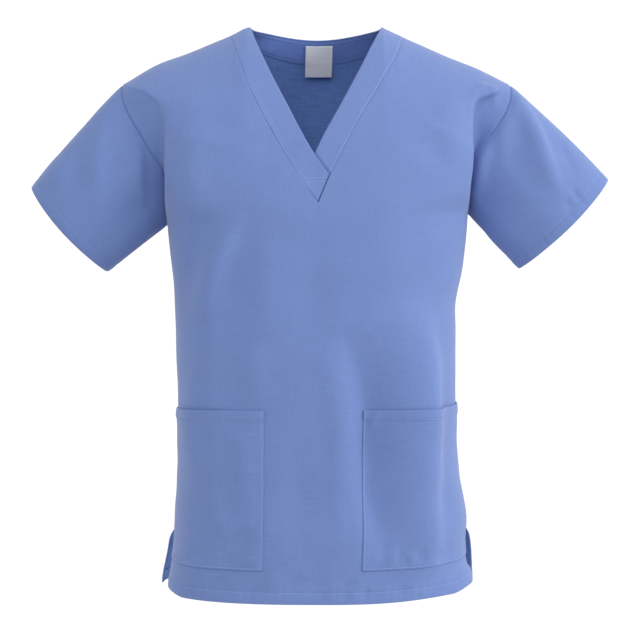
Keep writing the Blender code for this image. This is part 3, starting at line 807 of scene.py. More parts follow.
class Cloth:
    """A piece of cloth: its outer face's points and quads, its own measure, and its layers."""

    def __init__(self, name: str, points: Array, faces: Faces, measure: Array) -> None:
        """Start a piece from its form.

        Args:
            name: the name of the solid that the piece stands for.
            points: a list or a grid of points.
            faces: quads of point numbers, facing out.
            measure: how far each point lies across and along the cloth, in metres, n by 2.
        """
        self.name = name
        self.points = points.reshape(-1, 3).copy()
        self.faces = faces
        self.measure = measure
        self.thickness = np.full(len(self.points), WALL.layer)

    def normals(self) -> Array:
        """Normals at the points: the sum of diagonal_cross over the quads round each.

        Returns:
            An outward unit normal for each point.
        """
        across = diagonal_cross(self.points, self.faces)
        normals = np.zeros_like(self.points)
        for corner in self.faces.T:
            for axis in range(3):
                normals[:, axis] += np.bincount(corner, across[:, axis], len(self.points))
        return unit(normals)

    def lift(self, height: Array) -> None:
        """Move the points out along their normals by heights."""
        self.points += self.normals() * height[:, None]

    def sink(self, off: Array, out: Array, depth: Array | float, reach: float) -> None:
        """Roll points at distances off a seam in towards it: -out depth e^-(off/reach)^2."""
        self.points -= out * (depth * bell(off, reach))[:, None]

    def thicken(self, off: Array, width: float) -> None:
        """Turn the cloth up to a width from an edge, where it has two layers."""
        two = 1 - ease((off - width) / (1.0 * MM))
        self.thickness = np.maximum(self.thickness, WALL.layer + (WALL.turned - WALL.layer) * two)

    def build(self, cut: Cut, outside: bpy.types.Material, inside: bpy.types.Material) -> None:
        """Make the piece an object with a wall, in place of its solid, which is hidden.

        Args:
            cut: its flat size; not used.
            outside: material of the outer face.
            inside: material of the inner face.
        """
        thing = new_object(self.name + "_cloth", self.points, self.faces.tolist(), outside, inside)
        layer = thing.data.uv_layers.new(name="measure")
        layer.data.foreach_set("uv", self.measure[self.faces.ravel()].astype(np.float32).ravel())
        group = thing.vertex_groups.new(name="layers")
        shares = np.round(self.thickness / WALL.turned, 2)
        for share in np.unique(shares):
            group.add(np.flatnonzero(shares == share).tolist(), float(share), "REPLACE")
        solid = thing.modifiers.new("wall", "SOLIDIFY")
        solid.thickness = WALL.turned
        solid.offset = -1.0
        solid.vertex_group = group.name
        solid.material_offset = 1
        solid.material_offset_rim = 0
        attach(thing, BODY_NAME)
        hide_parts(self.name)
        area = np.linalg.norm(diagonal_cross(self.points, self.faces), axis=1).sum() / 2
        LOG.info("%s: %d points, %.4f m2", self.name, len(self.points), area)


@dataclass(frozen=True)
class Groove:
    """A sewn seam's groove: its depth, its half width, and how far off creases die away."""

    depth: float
    reach: float
    calm: float


ARMHOLE_SEAM = Groove(*millimetres(1.6, 1.1, 10))
SIDE_SEAM = Groove(*millimetres(0.8, 1.3, 16))
SHOULDER_SEAM = Groove(*millimetres(0.7, 1.3, 16))
NECK_SEAM = Groove(*millimetres(0.38, 0.8, 14))
EDGE_PLACES = millimetres(0.5, 1.1, 1.9, 3.0)


# ---- Threads ----


@dataclass
class Stitching:
    """Every stitch that shows, gathered into one object.

    Attributes:
        pitch: from one stitch to the next.
        length: of a stitch.
        radius: of the thread.
        places: the middle, direction, and outward normal of each stitch.
    """

    pitch: float = 2.9 * MM
    length: float = 2.3 * MM
    radius: float = 0.30 * MM
    places: list[tuple[Array, Array, Array]] = field(default_factory=list)

    def sew(self, points: Array, normals: Array, inset: float = 0.0) -> None:
        """Sew along a line of points, at an even pitch.

        Args:
            points: the line, n by 3.
            normals: outward normals along it.
            inset: how far inside the outer face the thread lies.
        """
        length = running_length(points)
        count = max(2, int(length[-1] / self.pitch))
        middles = (np.arange(count) + 0.5) * length[-1] / count
        halves = (-self.length / 2, self.length / 2)
        start, end = (read_at(points, length, middles + half) for half in halves)
        out = unit(read_at(normals, length, middles))
        self.places.append(((start + end) / 2 - out * inset, unit(end - start), out))

    def sew_line(self, cloth: Cloth, line: Faces, inset: float = 0.0) -> None:
        """Sew along a line of a piece's point numbers."""
        self.sew(cloth.points[line], cloth.normals()[line], inset)

    def sew_rows(self, cloth: Cloth, rows: Faces, places: Array, wanted: Array) -> None:
        """Sew through one place in each row of a piece's points.

        Args:
            cloth: the piece.
            rows: the point numbers in each row.
            places: a measure that rises along each row.
            wanted: the measure to sew at, one for each row.
        """
        normals = cloth.normals()
        points = [read_at(cloth.points[row], *where) for row, *where in zip(rows, places, wanted)]
        out = [read_at(normals[row], *where) for row, *where in zip(rows, places, wanted)]
        self.sew(np.array(points), np.array(out))

    def build(self, thread: bpy.types.Material) -> None:
        """Make the stitches: short capsules that dip into the cloth at both ends.

        Each ring of a capsule is a hexagon of radius r w(s) at s along it, with its middle lifted by
        r (0.25 - 0.9 s^2), where w falls from 1 at the middle to 0.35 at the ends.

        Args:
            thread: the thread's material.
        """
        middle, along, out = (np.concatenate(parts) for parts in zip(*self.places))
        rings = np.array([-1.0, -0.75, 0.0, 0.75, 1.0])[:, None]
        width = np.array([0.35, 0.85, 1.0, 0.85, 0.35])[:, None] * self.radius
        raised = (0.25 - 0.9 * rings**2) * self.radius
        turn = np.arange(6) * np.pi / 3
        length = rings * self.length / 2 + 0 * turn
        shape = np.stack([length, width * np.cos(turn), raised + width * np.sin(turn)], axis=-1)
        frames = np.stack([along, np.cross(out, along), out], axis=1)
        points = middle[:, None] + shape.reshape(-1, 3) @ frames
        caps = np.array([[0, 1, 2, 3], [0, 3, 4, 5], [27, 26, 25, 24], [29, 28, 27, 24]])
        quads = np.concatenate([grid_faces(wrapped(numbered(shape)), flip=False), caps])
        faces = quads[None] + points.shape[1] * np.arange(len(points))[:, None, None]
        thing = new_object("stitching", points.reshape(-1, 3), faces.reshape(-1, 4).tolist(), thread)
        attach(thing, BODY_NAME)
        LOG.info("stitching: %d stitches", len(points))


# ---- Front and back ----


@dataclass(frozen=True)
class HemFinish:
    """A turned hem.

    Attributes:
        width: from its edge to its stitched row.
        pucker: how high its puckers stand.
        pucker_share: where on its width they lie, and their reach, as shares of it.
        swell: how full it is.
        swell_share: the same for its fullness.
        turn_in: how far its edge turns in at the middle of a sleeve's face.
        row: the groove of its stitched row.
        lip: its rounded edge.
        seed: of its puckers.
    """

    width: float = 13 * MM
    pucker: float = 0.52 * MM
    pucker_share: Pair = (0.8, 0.62)
    swell: float = 0.18 * MM
    swell_share: Pair = (0.5, 0.33)
    turn_in: float = 0.0
    row: Rib = Rib(-0.45, 0, 1.1)
    lip: Rib = Rib(-0.35, 0, 1.0)
    seed: int = 1

    def places(self) -> tuple[float, ...]:
        """Distances from the edge that the grid needs: its rounded lip and the stitched row."""
        row = millimetres(-1.6, -0.7, 0, 0.7, 1.6)
        return millimetres(0.7, 1.8, 3.4, 5.5, 7.7, 9.8) + tuple(self.width + step for step in row)

    def heights(self, off: Array, along: Array) -> Array:
        """Heights near the hem.

        The stitched row is a groove, the lip turns in at the edge, and puckers fade away on both
        sides of the row.

        Args:
            off: distances from the edge.
            along: measure along it.

        Returns:
            The heights.
        """
        share = off / self.width
        near = bell(share - self.pucker_share[0], self.pucker_share[1])
        swell = self.swell * bell(share - self.swell_share[0], self.swell_share[1])
        row = self.row.at(off - self.width)
        return row + self.lip.at(off) + swell + self.pucker * near * puckers(along, self.seed)


@dataclass
class Panel:
    """The front or the back, as two half grids that share their middle column where they are joined.

    Attributes:
        vent_closed: how far below a vent's top it is still shut.
        vent_opening: the height over which it comes open.
        ridge_column: the column along the ridge.
        neck_column: the back's at the neck's corner.
        edge_columns: how many even out beside the V.
        body_rows: rows below the armpit.
        yoke_rows: rows above the V's tip.
        tip_rows: rows between the armpit and the V's tip.
        ridge_share_top: the most of a row inside the ridge near the shoulder.
        ridge_share_levels: where that is full, and how far below it starts.
        ridge_fade: how far below the armpit its column is at an even share.
        knot_limit: the most of a row inside a knot.
        spacing_x: where the rows' spacing is worked out.
    """

    form: Form
    face: Face
    creases: tuple[Crease, ...]
    hem: HemFinish
    vent_hem: float = 9 * MM
    vent_closed: float = 4 * MM
    vent_opening: float = 6 * MM
    columns: int = 96
    ridge_column: int = 72
    neck_column: int = 45
    edge_columns: int = 20
    body_rows: int = 134
    yoke_rows: int = 82
    tip_rows: int = 7
    ridge_share_top: float = 0.78
    ridge_share_levels: Pair = (0.75, 0.3)
    ridge_fade: float = 0.140
    v_tip_level: float = 0.0890
    knot_limit: float = 0.97
    spacing_x: float = 0.110
    vent_row: Rib = Rib(-0.28, 0, 1.1)
    vent_pucker: Rib = Rib(0.25, 0, 5)
    unevenness: float = 0.35 * MM
    wave_length: float = 0.085
    seed: int = 3

    def __post_init__(self) -> None:
        """Work out the grid, its faces and what lies near each point."""
        form, on_front = self.form, self.face is Face.FRONT
        self.rows_z = form.hem_z + crowded(form.armpit_z - form.hem_z, self.body_rows, self.hem.places())
        tip = np.linspace(0, self.v_tip_level, self.tip_rows + 1)[1:]
        fine = np.linspace(self.v_tip_level, 1, FINE_STEPS)
        path = form.yoke_points(self.face, Side.RIGHT, np.full(fine.shape, self.spacing_x), fine)
        self.levels = np.concatenate([tip, levels_along(path, fine, self.yoke_rows, end=EDGE_PLACES)[1:]])
        self.joined = self.body_rows + (self.tip_rows if on_front else len(self.levels))
        halves = zip(*(self.half(side) for side in Side))
        points, across, self.row_length = (np.array(pair) for pair in halves)
        index = numbered(points)
        index[1, : self.joined, 0] = index[0, : self.joined, 0]
        self.used, renumbered = np.unique(index, return_inverse=True)
        self.index = renumbered.reshape(index.shape)
        flips = (on_front, not on_front)
        faces = np.concatenate([grid_faces(half, flip) for half, flip in zip(self.index, flips)])
        up = column_length(points * np.array([0, 1, 1]))
        self.from_hem = self.flat(up)
        self.from_top = self.flat(up[:, -1:] - up)
        self.from_end = self.flat(self.row_length[..., None] - across)
        self.from_start = self.flat(across)
        self.row = self.flat(np.arange(self.index.shape[1])[None, :, None])
        starts = np.zeros(self.row_length.shape)
        if on_front:
            v_seam = [form.v_seam.at(side.word, self.levels[self.tip_rows :]) for side in Side]
            starts[:, self.joined :] = np.abs(v_seam)
        signs = np.array([side.sign for side in Side])[:, None, None]
        measure = as_columns(self.flat((across + starts[..., None]) * signs), self.from_hem)
        self.cloth = Cloth(self.face.value + "_panel", self.flat(points), faces, measure)
        self.finish_edges()

    def flat(self, values: Array) -> Array:
        """Values over both half grids, repeated where they are 1 wide, as a list in the points' order."""
        full = np.broadcast_to(values, self.index.shape + values.shape[3:])
        return full.reshape(-1, *values.shape[3:])[self.used]

    def half(self, side: Side) -> tuple[Array, Array, Array]:
        """Half a panel's points.

        Each row is a fine line that is read at lengths spaced evenly between knots: the middle or the
        V, the neck's corner on the back, the ridge beside the arm, and the seam at its end.

        Args:
            side: the wearer's side.

        Returns:
            The points, their lengths along their rows, and the rows' lengths.
        """
        form, on_front = self.form, self.face is Face.FRONT
        body = form.body_lines(self.face, side, self.rows_z)
        yoke = form.yoke_lines(self.face, side, self.levels)
        long, count = running_length(yoke), form.section_points
        ridge = long[:, count - 1 if on_front else 2 * count - 2] / long[:, -1]
        top, (full_level, come_in) = self.ridge_share_top, self.ridge_share_levels
        ridge = np.minimum(ridge, top + (1 - top) * ease((full_level - self.levels) / come_in))
        fade = ease((self.rows_z - form.armpit_z + self.ridge_fade) / self.ridge_fade)
        even = self.ridge_column / self.columns
        ridge = np.concatenate([even + (ridge[0] - even) * fade, ridge])
        knots, shares = [self.ridge_column], [ridge]
        if not on_front:
            corner = long[-1, count - 1] / long[-1, -1]
            knots, shares = [self.neck_column, *knots], [corner + 0 * ridge, *shares]
        lengths = np.concatenate([running_length(body)[:, -1], long[:, -1]])
        across = self.row_places(knots, np.array(shares), lengths)
        points = np.concatenate([spread(body, across[: len(body)]), spread(yoke, across[len(body) :])])
        return points * np.array([side.sign, self.face.forward, 1.0]), across, lengths

    def row_places(self, knots: list[int], shares: Array, lengths: Array) -> Array:
        """Places of the columns along each row, even between knots and crowded at the seams.

        Args:
            knots: the columns between a row's start and its end that have a place of their own.
            shares: where each of them lies, as a share of each row's length.
            lengths: the rows' lengths.

        Returns:
            A row of places for each length.
        """
        last, ends = self.columns - len(EDGE_PLACES), lengths - EDGE_PLACES[-1]
        shares = np.minimum(shares * lengths / ends, self.knot_limit)
        shares = np.concatenate([0 * ends[None], shares, 1 + 0 * ends[None]]).T
        knots = [0, *knots, last]
        inner = np.array([np.interp(np.arange(last + 1), knots, row) for row in shares]) * ends[:, None]
        if self.face is Face.FRONT:
            first, even = len(EDGE_PLACES), self.edge_columns
            inner[:, 1 : first + 1] = np.minimum(inner[:, 1 : first + 1], np.array(EDGE_PLACES))
            start, step = inner[:, first, None], np.arange(1, even - first) / (even - first)
            inner[:, first + 1 : even] = start + (inner[:, even, None] - start) * step
        near = lengths[:, None] - np.array([*EDGE_PLACES[-2::-1], 0.0])
        return np.concatenate([inner, near], axis=1)

    def end_out(self) -> Array:
        """The way out of the seam at the end of each point's row.

        Returns:
            A unit direction for each point.
        """
        arms = [self.form.arm_out(side, self.face, self.levels) for side in Side]
        sides = [np.tile([side.sign, 0.0, 0.0], (self.body_rows, 1)) for side in Side]
        return self.flat(np.concatenate([sides, arms], axis=1)[:, :, None])

    def calm(self) -> Array:
        """How much of a crease is left at each point.

        Returns:
            A share for each point, from 0 at seams to 1 away from them.
        """
        side = ease(self.from_end / SIDE_SEAM.calm)
        arm = ease(self.from_end / ARMHOLE_SEAM.calm)
        calm = np.where(self.row < self.body_rows, side, arm) * ease(self.from_top / SHOULDER_SEAM.calm)
        if self.face is Face.BACK:
            return calm
        beside_v = np.where(self.row >= self.joined - 1, ease(self.from_start / NECK_SEAM.calm), 1.0)
        tip_z = self.form.level_z(Side.RIGHT, np.zeros(1), self.v_tip_level)
        from_tip = np.hypot(self.cloth.points[:, 0], self.cloth.points[:, 2] - tip_z)
        return calm * beside_v * ease(from_tip / NECK_SEAM.calm)

    def heights(self, x: Array, z: Array) -> Array:
        """Heights of the creases and of the cloth's unevenness at places seen from the front."""
        return self.unevenness * waves(x, z, self.seed, self.wave_length) + relief(self.creases, x, z)

    def finish_edges(self) -> None:
        """Lay the creases, the hems and the seams into the cloth."""
        cloth, form = self.cloth, self.form
        x, _, z = cloth.points.T
        on_body = self.row < self.body_rows
        height = self.heights(x, z) * self.calm()
        height += self.hem.heights(self.from_hem, cloth.measure[:, 0])
        in_vent = self.row < np.searchsorted(self.rows_z, form.vent_top_z)
        open_share = ease((form.vent_top_z - self.vent_closed - z) / self.vent_opening) * in_vent
        from_row = self.from_end - self.vent_hem
        pucker = self.vent_pucker.at(from_row) * puckers(self.from_hem, self.seed + 5)
        height += (self.vent_row.at(from_row) + pucker) * open_share
        cloth.lift(height)
        cloth.thicken(self.from_hem, self.hem.width)
        cloth.thicken(np.where(open_share > 0.5, self.from_end, 1.0), self.vent_hem)
        depth = np.where(on_body, SIDE_SEAM.depth, ARMHOLE_SEAM.depth) * (1 - open_share)
        cloth.sink(self.from_end, self.end_out(), depth, ARMHOLE_SEAM.reach)
        if self.face is Face.FRONT:
            cloth.sink(self.from_top, UP, SHOULDER_SEAM.depth, SHOULDER_SEAM.reach)
            from_v = np.where(self.row >= self.joined - 1, self.from_start, 1.0)
            cloth.sink(from_v, FORWARD, NECK_SEAM.depth, NECK_SEAM.reach)
            return
        at_neck = self.flat(np.arange(self.index.shape[2])[None, None] <= self.neck_column)
        depth = np.where(at_neck, NECK_SEAM.depth, SHOULDER_SEAM.depth)
        cloth.sink(self.from_top, np.where(at_neck[:, None], NECK_OUT, UP), depth, SHOULDER_SEAM.reach)

    def sew(self, stitching: Stitching) -> None:
        """Sew the hem and both vents.

        Args:
            stitching: what the stitches are added to.
        """
        row = nearest(self.rows_z - self.form.hem_z, self.hem.width)
        top = np.searchsorted(self.rows_z, self.form.vent_top_z)
        stitching.sew_line(self.cloth, np.concatenate([self.index[0, row, ::-1], self.index[1, row, 1:]]))
        for index, length in zip(self.index[:, row:top], self.row_length[:, row:top]):
            stitching.sew_rows(self.cloth, index, self.from_start[index], length - self.vent_hem)


# ---- Sleeves ----


def round_arm(front: Array, back: Array) -> Array:
    """Values up the front of an armhole and down its back, each place once."""
    return np.concatenate([front, back[::-1][1:]])[:-1]


@dataclass
class Sleeve:
    """A sleeve: a tube from the armhole seam to its hem, fuller over its top and its faces.

    Attributes:
        hem_top: the hem's upper corner, x outwards and z.
        hem_under: the hem's lower corner.
        hem_bow: how far it bows out at its faces' middles.
        top_crown: how much fuller the top is halfway out.
        face_crown: how much fuller the faces are halfway out.
        ring_half: quads from the armpit to the shoulder.
        turned_length: length round it for each radian.
        crease_depth: how far out a face's creases are whole.
        face_shift: between its two faces' unevenness.
        thread_inset: how deep the hem's thread lies in the cloth.
    """

    form: Form
    side: Side
    creases: dict[Face, tuple[Crease, ...]]
    hem: HemFinish
    hem_top: Pair
    hem_under: Pair
    seed: int
    hem_half_depth: float = 0.052
    hem_bow: float = 0.006
    top_crown: float = 0.0025
    face_crown: float = 0.009
    ring_half: int = 76
    rows: int = 74
    turned_length: float = 0.06
    under_seam: Rib = Rib(-0.7, 0, 1.3)
    crease_depth: float = 16 * MM
    unevenness: float = 0.30 * MM
    wave_length: float = 0.07
    face_shift: float = 0.3
    thread_inset: float = 0.18 * MM

    def __post_init__(self) -> None:
        """Work out the tube and finish it.

        Round the armhole, turn runs from pi at the armpit over 0 at the shoulder to -pi. The hem is
        an ellipse, middle + cos(turn) half + bow sin(turn)^2 outward, with y = -depth sin(turn). A
        row at share s lies at top + s (hem - top), lifted by the crowns times sin(pi s).
        """
        form, side = self.form, self.side
        fine = np.linspace(0, 1, FINE_STEPS)
        levels = levels_along(form.armhole(side, fine), fine, self.ring_half + 1)
        seam, steps = form.armhole(side, levels), np.linspace(np.pi, 0, self.ring_half + 1)
        ring = round_arm(seam * [1, -1, 1], seam)
        turn = round_arm(steps, -steps)
        over, under = np.array(self.hem_top), np.array(self.hem_under)
        middle, half = (over + under) / 2, (over - under) / 2
        outward = unit(np.array([half[1], -half[0]]))
        flat = middle + np.cos(turn)[:, None] * half + self.hem_bow * np.sin(turn)[:, None] ** 2 * outward
        hem = np.stack([flat[:, 0], -self.hem_half_depth * np.sin(turn), flat[:, 1]], axis=1)
        length = float(np.mean(np.linalg.norm(hem - ring, axis=1)))
        share = (crowded(length, self.rows, EDGE_PLACES, self.hem.places()) / length)[:, None, None]
        tube = ring + (hem - ring) * share
        crown = np.sin(np.pi * share)
        tube[..., [0, 2]] += crown * self.top_crown * np.cos(turn).clip(0)[:, None] * unit(half)
        tube[..., 1] -= crown[..., 0] * self.face_crown * np.sin(turn)
        tube[..., 0] *= side.sign
        self.index = numbered(tube)
        along = column_length(tube)
        self.from_arm, self.from_hem = along.ravel(), (along[-1:] - along).ravel()
        faces = grid_faces(wrapped(self.index), flip=side is Side.LEFT)
        measure = as_columns(running_length(tube), along)
        self.cloth = Cloth("sleeve_" + side.word, tube, faces, measure)
        out = round_arm(*(form.arm_out(side, face, levels) for face in Face))
        self.finish(np.tile(out, (self.rows, 1)), np.tile(turn, self.rows))

    def finish(self, out: Array, turn: Array) -> None:
        """Lay the creases, the hem and the seams into the cloth.

        Args:
            out: the armhole's outward direction for each point's column.
            turn: each point's turn round the sleeve.
        """
        cloth, around = self.cloth, self.turned_length
        x, y, z = cloth.points.T
        height = self.unevenness * waves(x + self.face_shift * np.sign(y), z, self.seed, self.wave_length)
        for face, creases in self.creases.items():
            height += relief(creases, x, z) * ease(face.forward * y / self.crease_depth)
        height *= ease(self.from_arm / ARMHOLE_SEAM.calm)
        turned = self.hem.turn_in * np.clip(1 - self.from_hem / self.hem.width, 0, 1) ** 1.5
        height += self.hem.heights(self.from_hem, (np.pi - turn) * around) - turned * np.sin(turn) ** 2
        from_under = np.minimum(np.pi - np.abs(turn), 1.0) * around
        height += self.under_seam.at(from_under)
        cloth.lift(height)
        cloth.thicken(self.from_hem, self.hem.width)
        cloth.sink(self.from_arm, out, ARMHOLE_SEAM.depth, ARMHOLE_SEAM.reach)

    def sew(self, stitching: Stitching) -> None:
        """Sew the hem all round."""
        row = nearest(self.from_hem.reshape(self.index.shape).mean(axis=1), self.hem.width)
        stitching.sew_line(self.cloth, wrapped(self.index)[row], self.thread_inset)


# ---- Neckband ----

BAND_SEAM_PLACES = millimetres(0.5, 1.1, 2.0, 3.2)
BAND_EDGE_PLACES = millimetres(0.35, 0.9, 1.8, 3.0)
BACK_EDGE_PLACES = millimetres(0.35, 0.9, 1.8, 2.8, 3.6, 4.4, 5.2, 6.4)
END_CALM = 12 * MM
FRONT_SEAM_CALM = 2 * MM
BACK_SEAM_CALM = 4 * MM
BACK_FOLD_RISE = 6 * MM
LEAST_CALM = 0.1


@dataclass
class FrontBand:
    """Half of the V's neckband, from where it ends behind or over its fellow up to the shoulder.

    Attributes:
        tip_level: the level of the V's tip.
        tip_relief: how much higher its seam starts.
        width: its width, for its columns.
        lap_depth: how far the left band dips in.
        lap_reach: between which distances from the right band's edge.
        lap_rows: heights of the rows across the lapped end.
        lap_clearance: how far above the end such a row has to be.
        tip_seam: the depth of that end's seam, as a share of the neck seam's.
    """

    form: Form
    side: Side
    tip_level: float
    tip_relief: float = 0.006
    width: float = 28.5 * MM
    raised: Rib = Rib(0.35, 3, 3)
    stitched: Rib = Rib(-0.30, 2, 0.7)
    puckered: Rib = Rib(0.12, 0, 9)
    lip: Rib = Rib(-0.55, 0, 0.6)
    unevenness: float = 0.25 * MM
    wave_length: float = 0.05
    pucker_length: float = 11 * MM
    lap_depth: float = 1.9 * MM
    lap_reach: Pair = (0.0005, 0.0038)
    lap_rows: Pair = (-0.1941, -0.1990)
    lap_clearance: float = 1.2 * MM
    tip_seam: float = 0.6
    columns: int = 34
    rows: int = 170
    seed: int = 31

    def __post_init__(self) -> None:
        """Work out the band between its seam and its free edge.

        Rows run up. At a share s of the row, x and level are both seam + s (edge - seam), and the
        depth is the front's own there. The left band dips in under the right one near its edge.
        """
        form, side = self.form, self.side
        first, lowest = self.tip_level + self.tip_relief, form.v_edge.columns["level"][0]
        fine = np.linspace(first, 1, FINE_STEPS)
        path = form.yoke_points(Face.FRONT, side, form.v_seam.at(side.word, fine), fine)
        seam_level = levels_along(path, fine, self.rows, EDGE_PLACES, EDGE_PLACES)
        edge_level = lowest + (1 - lowest) * (seam_level - first) / (1 - first)
        seam = np.stack([form.v_seam.at(side.word, seam_level), seam_level])[..., None]
        edge = np.stack([form.v_edge.at(side.word, edge_level), edge_level])[..., None]
        share = crowded(self.width, self.columns, BAND_SEAM_PLACES, BAND_EDGE_PLACES) / self.width
        x, level = seam + (edge - seam) * share
        points = form.yoke_points(Face.FRONT, side, x, level) * [1, -1, 1]
        if side is Side.LEFT:
            low, high = self.lap_reach
            off = x - form.v_edge.at("right", level)
            points[..., 1] += self.lap_depth * (1 - ease((off - low) / (high - low)))
        across, along = running_length(points), column_length(points)
        self.index = numbered(points)
        faces = grid_faces(self.index, flip=side is Side.LEFT)
        self.cloth = Cloth("neckband_" + side.word, points, faces, as_columns(across, along))
        self.across = across[30]
        places = (across, across[:, -1:] - across, along, along[-1:] - along)
        self.roll(*(place.ravel() for place in places))

    def roll(self, from_seam: Array, from_edge: Array, from_tip: Array, from_shoulder: Array) -> None:
        """Round the free edge, raise the band beside its seam and roll its ends in.

        Args:
            from_seam: each point's distance from the seam.
            from_edge: from the free edge.
            from_tip: from the lower end.
            from_shoulder: from the shoulder seam.
        """
        cloth, seed = self.cloth, self.seed + self.side.value
        cloth.thickness[:] = WALL.turned
        x, _, z = cloth.points.T
        height = self.raised.at(from_seam) + self.stitched.at(from_seam) + self.lip.at(from_edge)
        height += self.puckered.at(from_seam) * puckers(from_tip, seed, self.pucker_length)
        height += self.unevenness * waves(x, z, seed + 10, self.wave_length)
        cloth.lift(height * ease(from_shoulder / END_CALM) * ease(from_seam / FRONT_SEAM_CALM + LEAST_CALM))
        cloth.sink(from_seam, FORWARD, NECK_SEAM.depth, NECK_SEAM.reach)
        cloth.sink(from_shoulder, UP, SHOULDER_SEAM.depth, SHOULDER_SEAM.reach)
        if self.side is Side.RIGHT:
            cloth.sink(from_tip, FORWARD, self.tip_seam * NECK_SEAM.depth, NECK_SEAM.reach)

    def sew(self, stitching: Stitching) -> None:
        """Sew along the seam, and on the right band two rows across its lapped end.

        Args:
            stitching: what the stitches are added to.
        """
        stitching.sew_line(self.cloth, self.index[1:-2, nearest(self.across, self.stitched.off * MM)])
        columns = self.index[:, 2:-1].T
        z = self.cloth.points[columns, 2]
        for height in self.lap_rows if self.side is Side.RIGHT else ():
            crossed = z[:, 0] + self.lap_clearance < height
            stitching.sew_rows(self.cloth, columns[crossed], z[crossed], np.full(crossed.sum(), height))


@dataclass
class BackBand:
    """The neckband behind the neck, from one shoulder to the other, stitched beside its free edge."""

    form: Form
    stitched: Rib = Rib(-0.25, 4.4, 0.8)
    lip: Rib = Rib(-0.55, 0, 0.6)
    unevenness: float = 0.2 * MM
    wave_length: float = 0.04
    columns: int = 24
    rows: int = 110
    seed: int = 47

    def __post_init__(self) -> None:
        """Work out the band, straight from its seam to its free edge.

        The edge runs at the same share s of its half as the seam: y = depth (1 - |s|^n)^(1/n), and
        it dips by the drop times 1 - s^2 from the shoulder line, with a swell of 4 s^2 (1 - s^2).
        """
        form, power = self.form, self.form.neck_back_squareness
        tops = (form.yoke_lines(Face.BACK, side, np.ones(1))[0, : form.section_points] for side in Side)
        right, left = (top * np.array([side.sign, 1.0, 1.0]) for side, top in zip(Side, tops))
        line = np.concatenate([right[::-1], left[1:]])
        length = running_length(line)
        seam = read_at(line, length, crowded(length[-1], self.rows, EDGE_PLACES, EDGE_PLACES))
        on_right = seam[:, 0] < 0
        share = np.clip(seam[:, 0] / np.where(on_right, *form.neck_seam_x), -1, 1)
        edge_x = share * np.where(on_right, *form.neck_point_x)
        edge_y = form.neck_back_depth * (1 - np.abs(share) ** power) ** (1 / power)
        swell = 4 * form.neck_back_swell * share**2 * (1 - share**2)
        edge_z = form.shoulder_z(Side.RIGHT, edge_x) - form.neck_back_drop * (1 - share**2) + swell
        edge = np.stack([edge_x, edge_y, edge_z], axis=1)
        out = crowded(form.band_width, self.columns, BAND_SEAM_PLACES, BACK_EDGE_PLACES) / form.band_width
        points = seam[:, None] + (edge - seam)[:, None] * out[:, None]
        across, along = running_length(points), column_length(points)
        self.index = numbered(points)
        faces = grid_faces(self.index, flip=False)
        self.cloth = Cloth("neckband_back", points, faces, as_columns(along, across))
        self.from_edge = (across[:, -1:] - across)[50]
        places = (across, across[:, -1:] - across, np.minimum(along, along[-1:] - along))
        self.roll(*(place.ravel() for place in places))

    def roll(self, from_seam: Array, from_edge: Array, from_ends: Array) -> None:
        """Round the free edge, and roll the seam and the ends in.

        Args:
            from_seam: each point's distance from the seam.
            from_edge: from the free edge.
            from_ends: from the nearer shoulder seam.
        """
        cloth = self.cloth
        cloth.thickness += (WALL.turned - WALL.layer) * ease(from_seam / BACK_FOLD_RISE)
        height = self.unevenness * waves(*cloth.measure.T, self.seed, self.wave_length)
        height += self.stitched.at(from_edge) + self.lip.at(from_edge)
        cloth.lift(height * ease(from_ends / END_CALM) * ease(from_seam / BACK_SEAM_CALM))
        cloth.sink(from_seam, NECK_OUT, NECK_SEAM.depth, SHOULDER_SEAM.reach)
        cloth.sink(from_ends, UP, SHOULDER_SEAM.depth, SHOULDER_SEAM.reach)

    def sew(self, stitching: Stitching) -> None:
        """Sew along the free edge, where both sides of the band show the thread.

        Args:
            stitching: what the stitches are added to.
        """
        line = self.index[2:-2, nearest(self.from_edge, self.stitched.off * MM)]
        points, normals = self.cloth.points[line], self.cloth.normals()[line]
        stitching.sew(points, normals)
        stitching.sew(points, -normals, inset=-WALL.turned)


# ---- Pockets and label ----

POCKET_EDGE_PLACES = millimetres(0.35, 0.9, 1.6, 2.2, 2.9, 3.8)


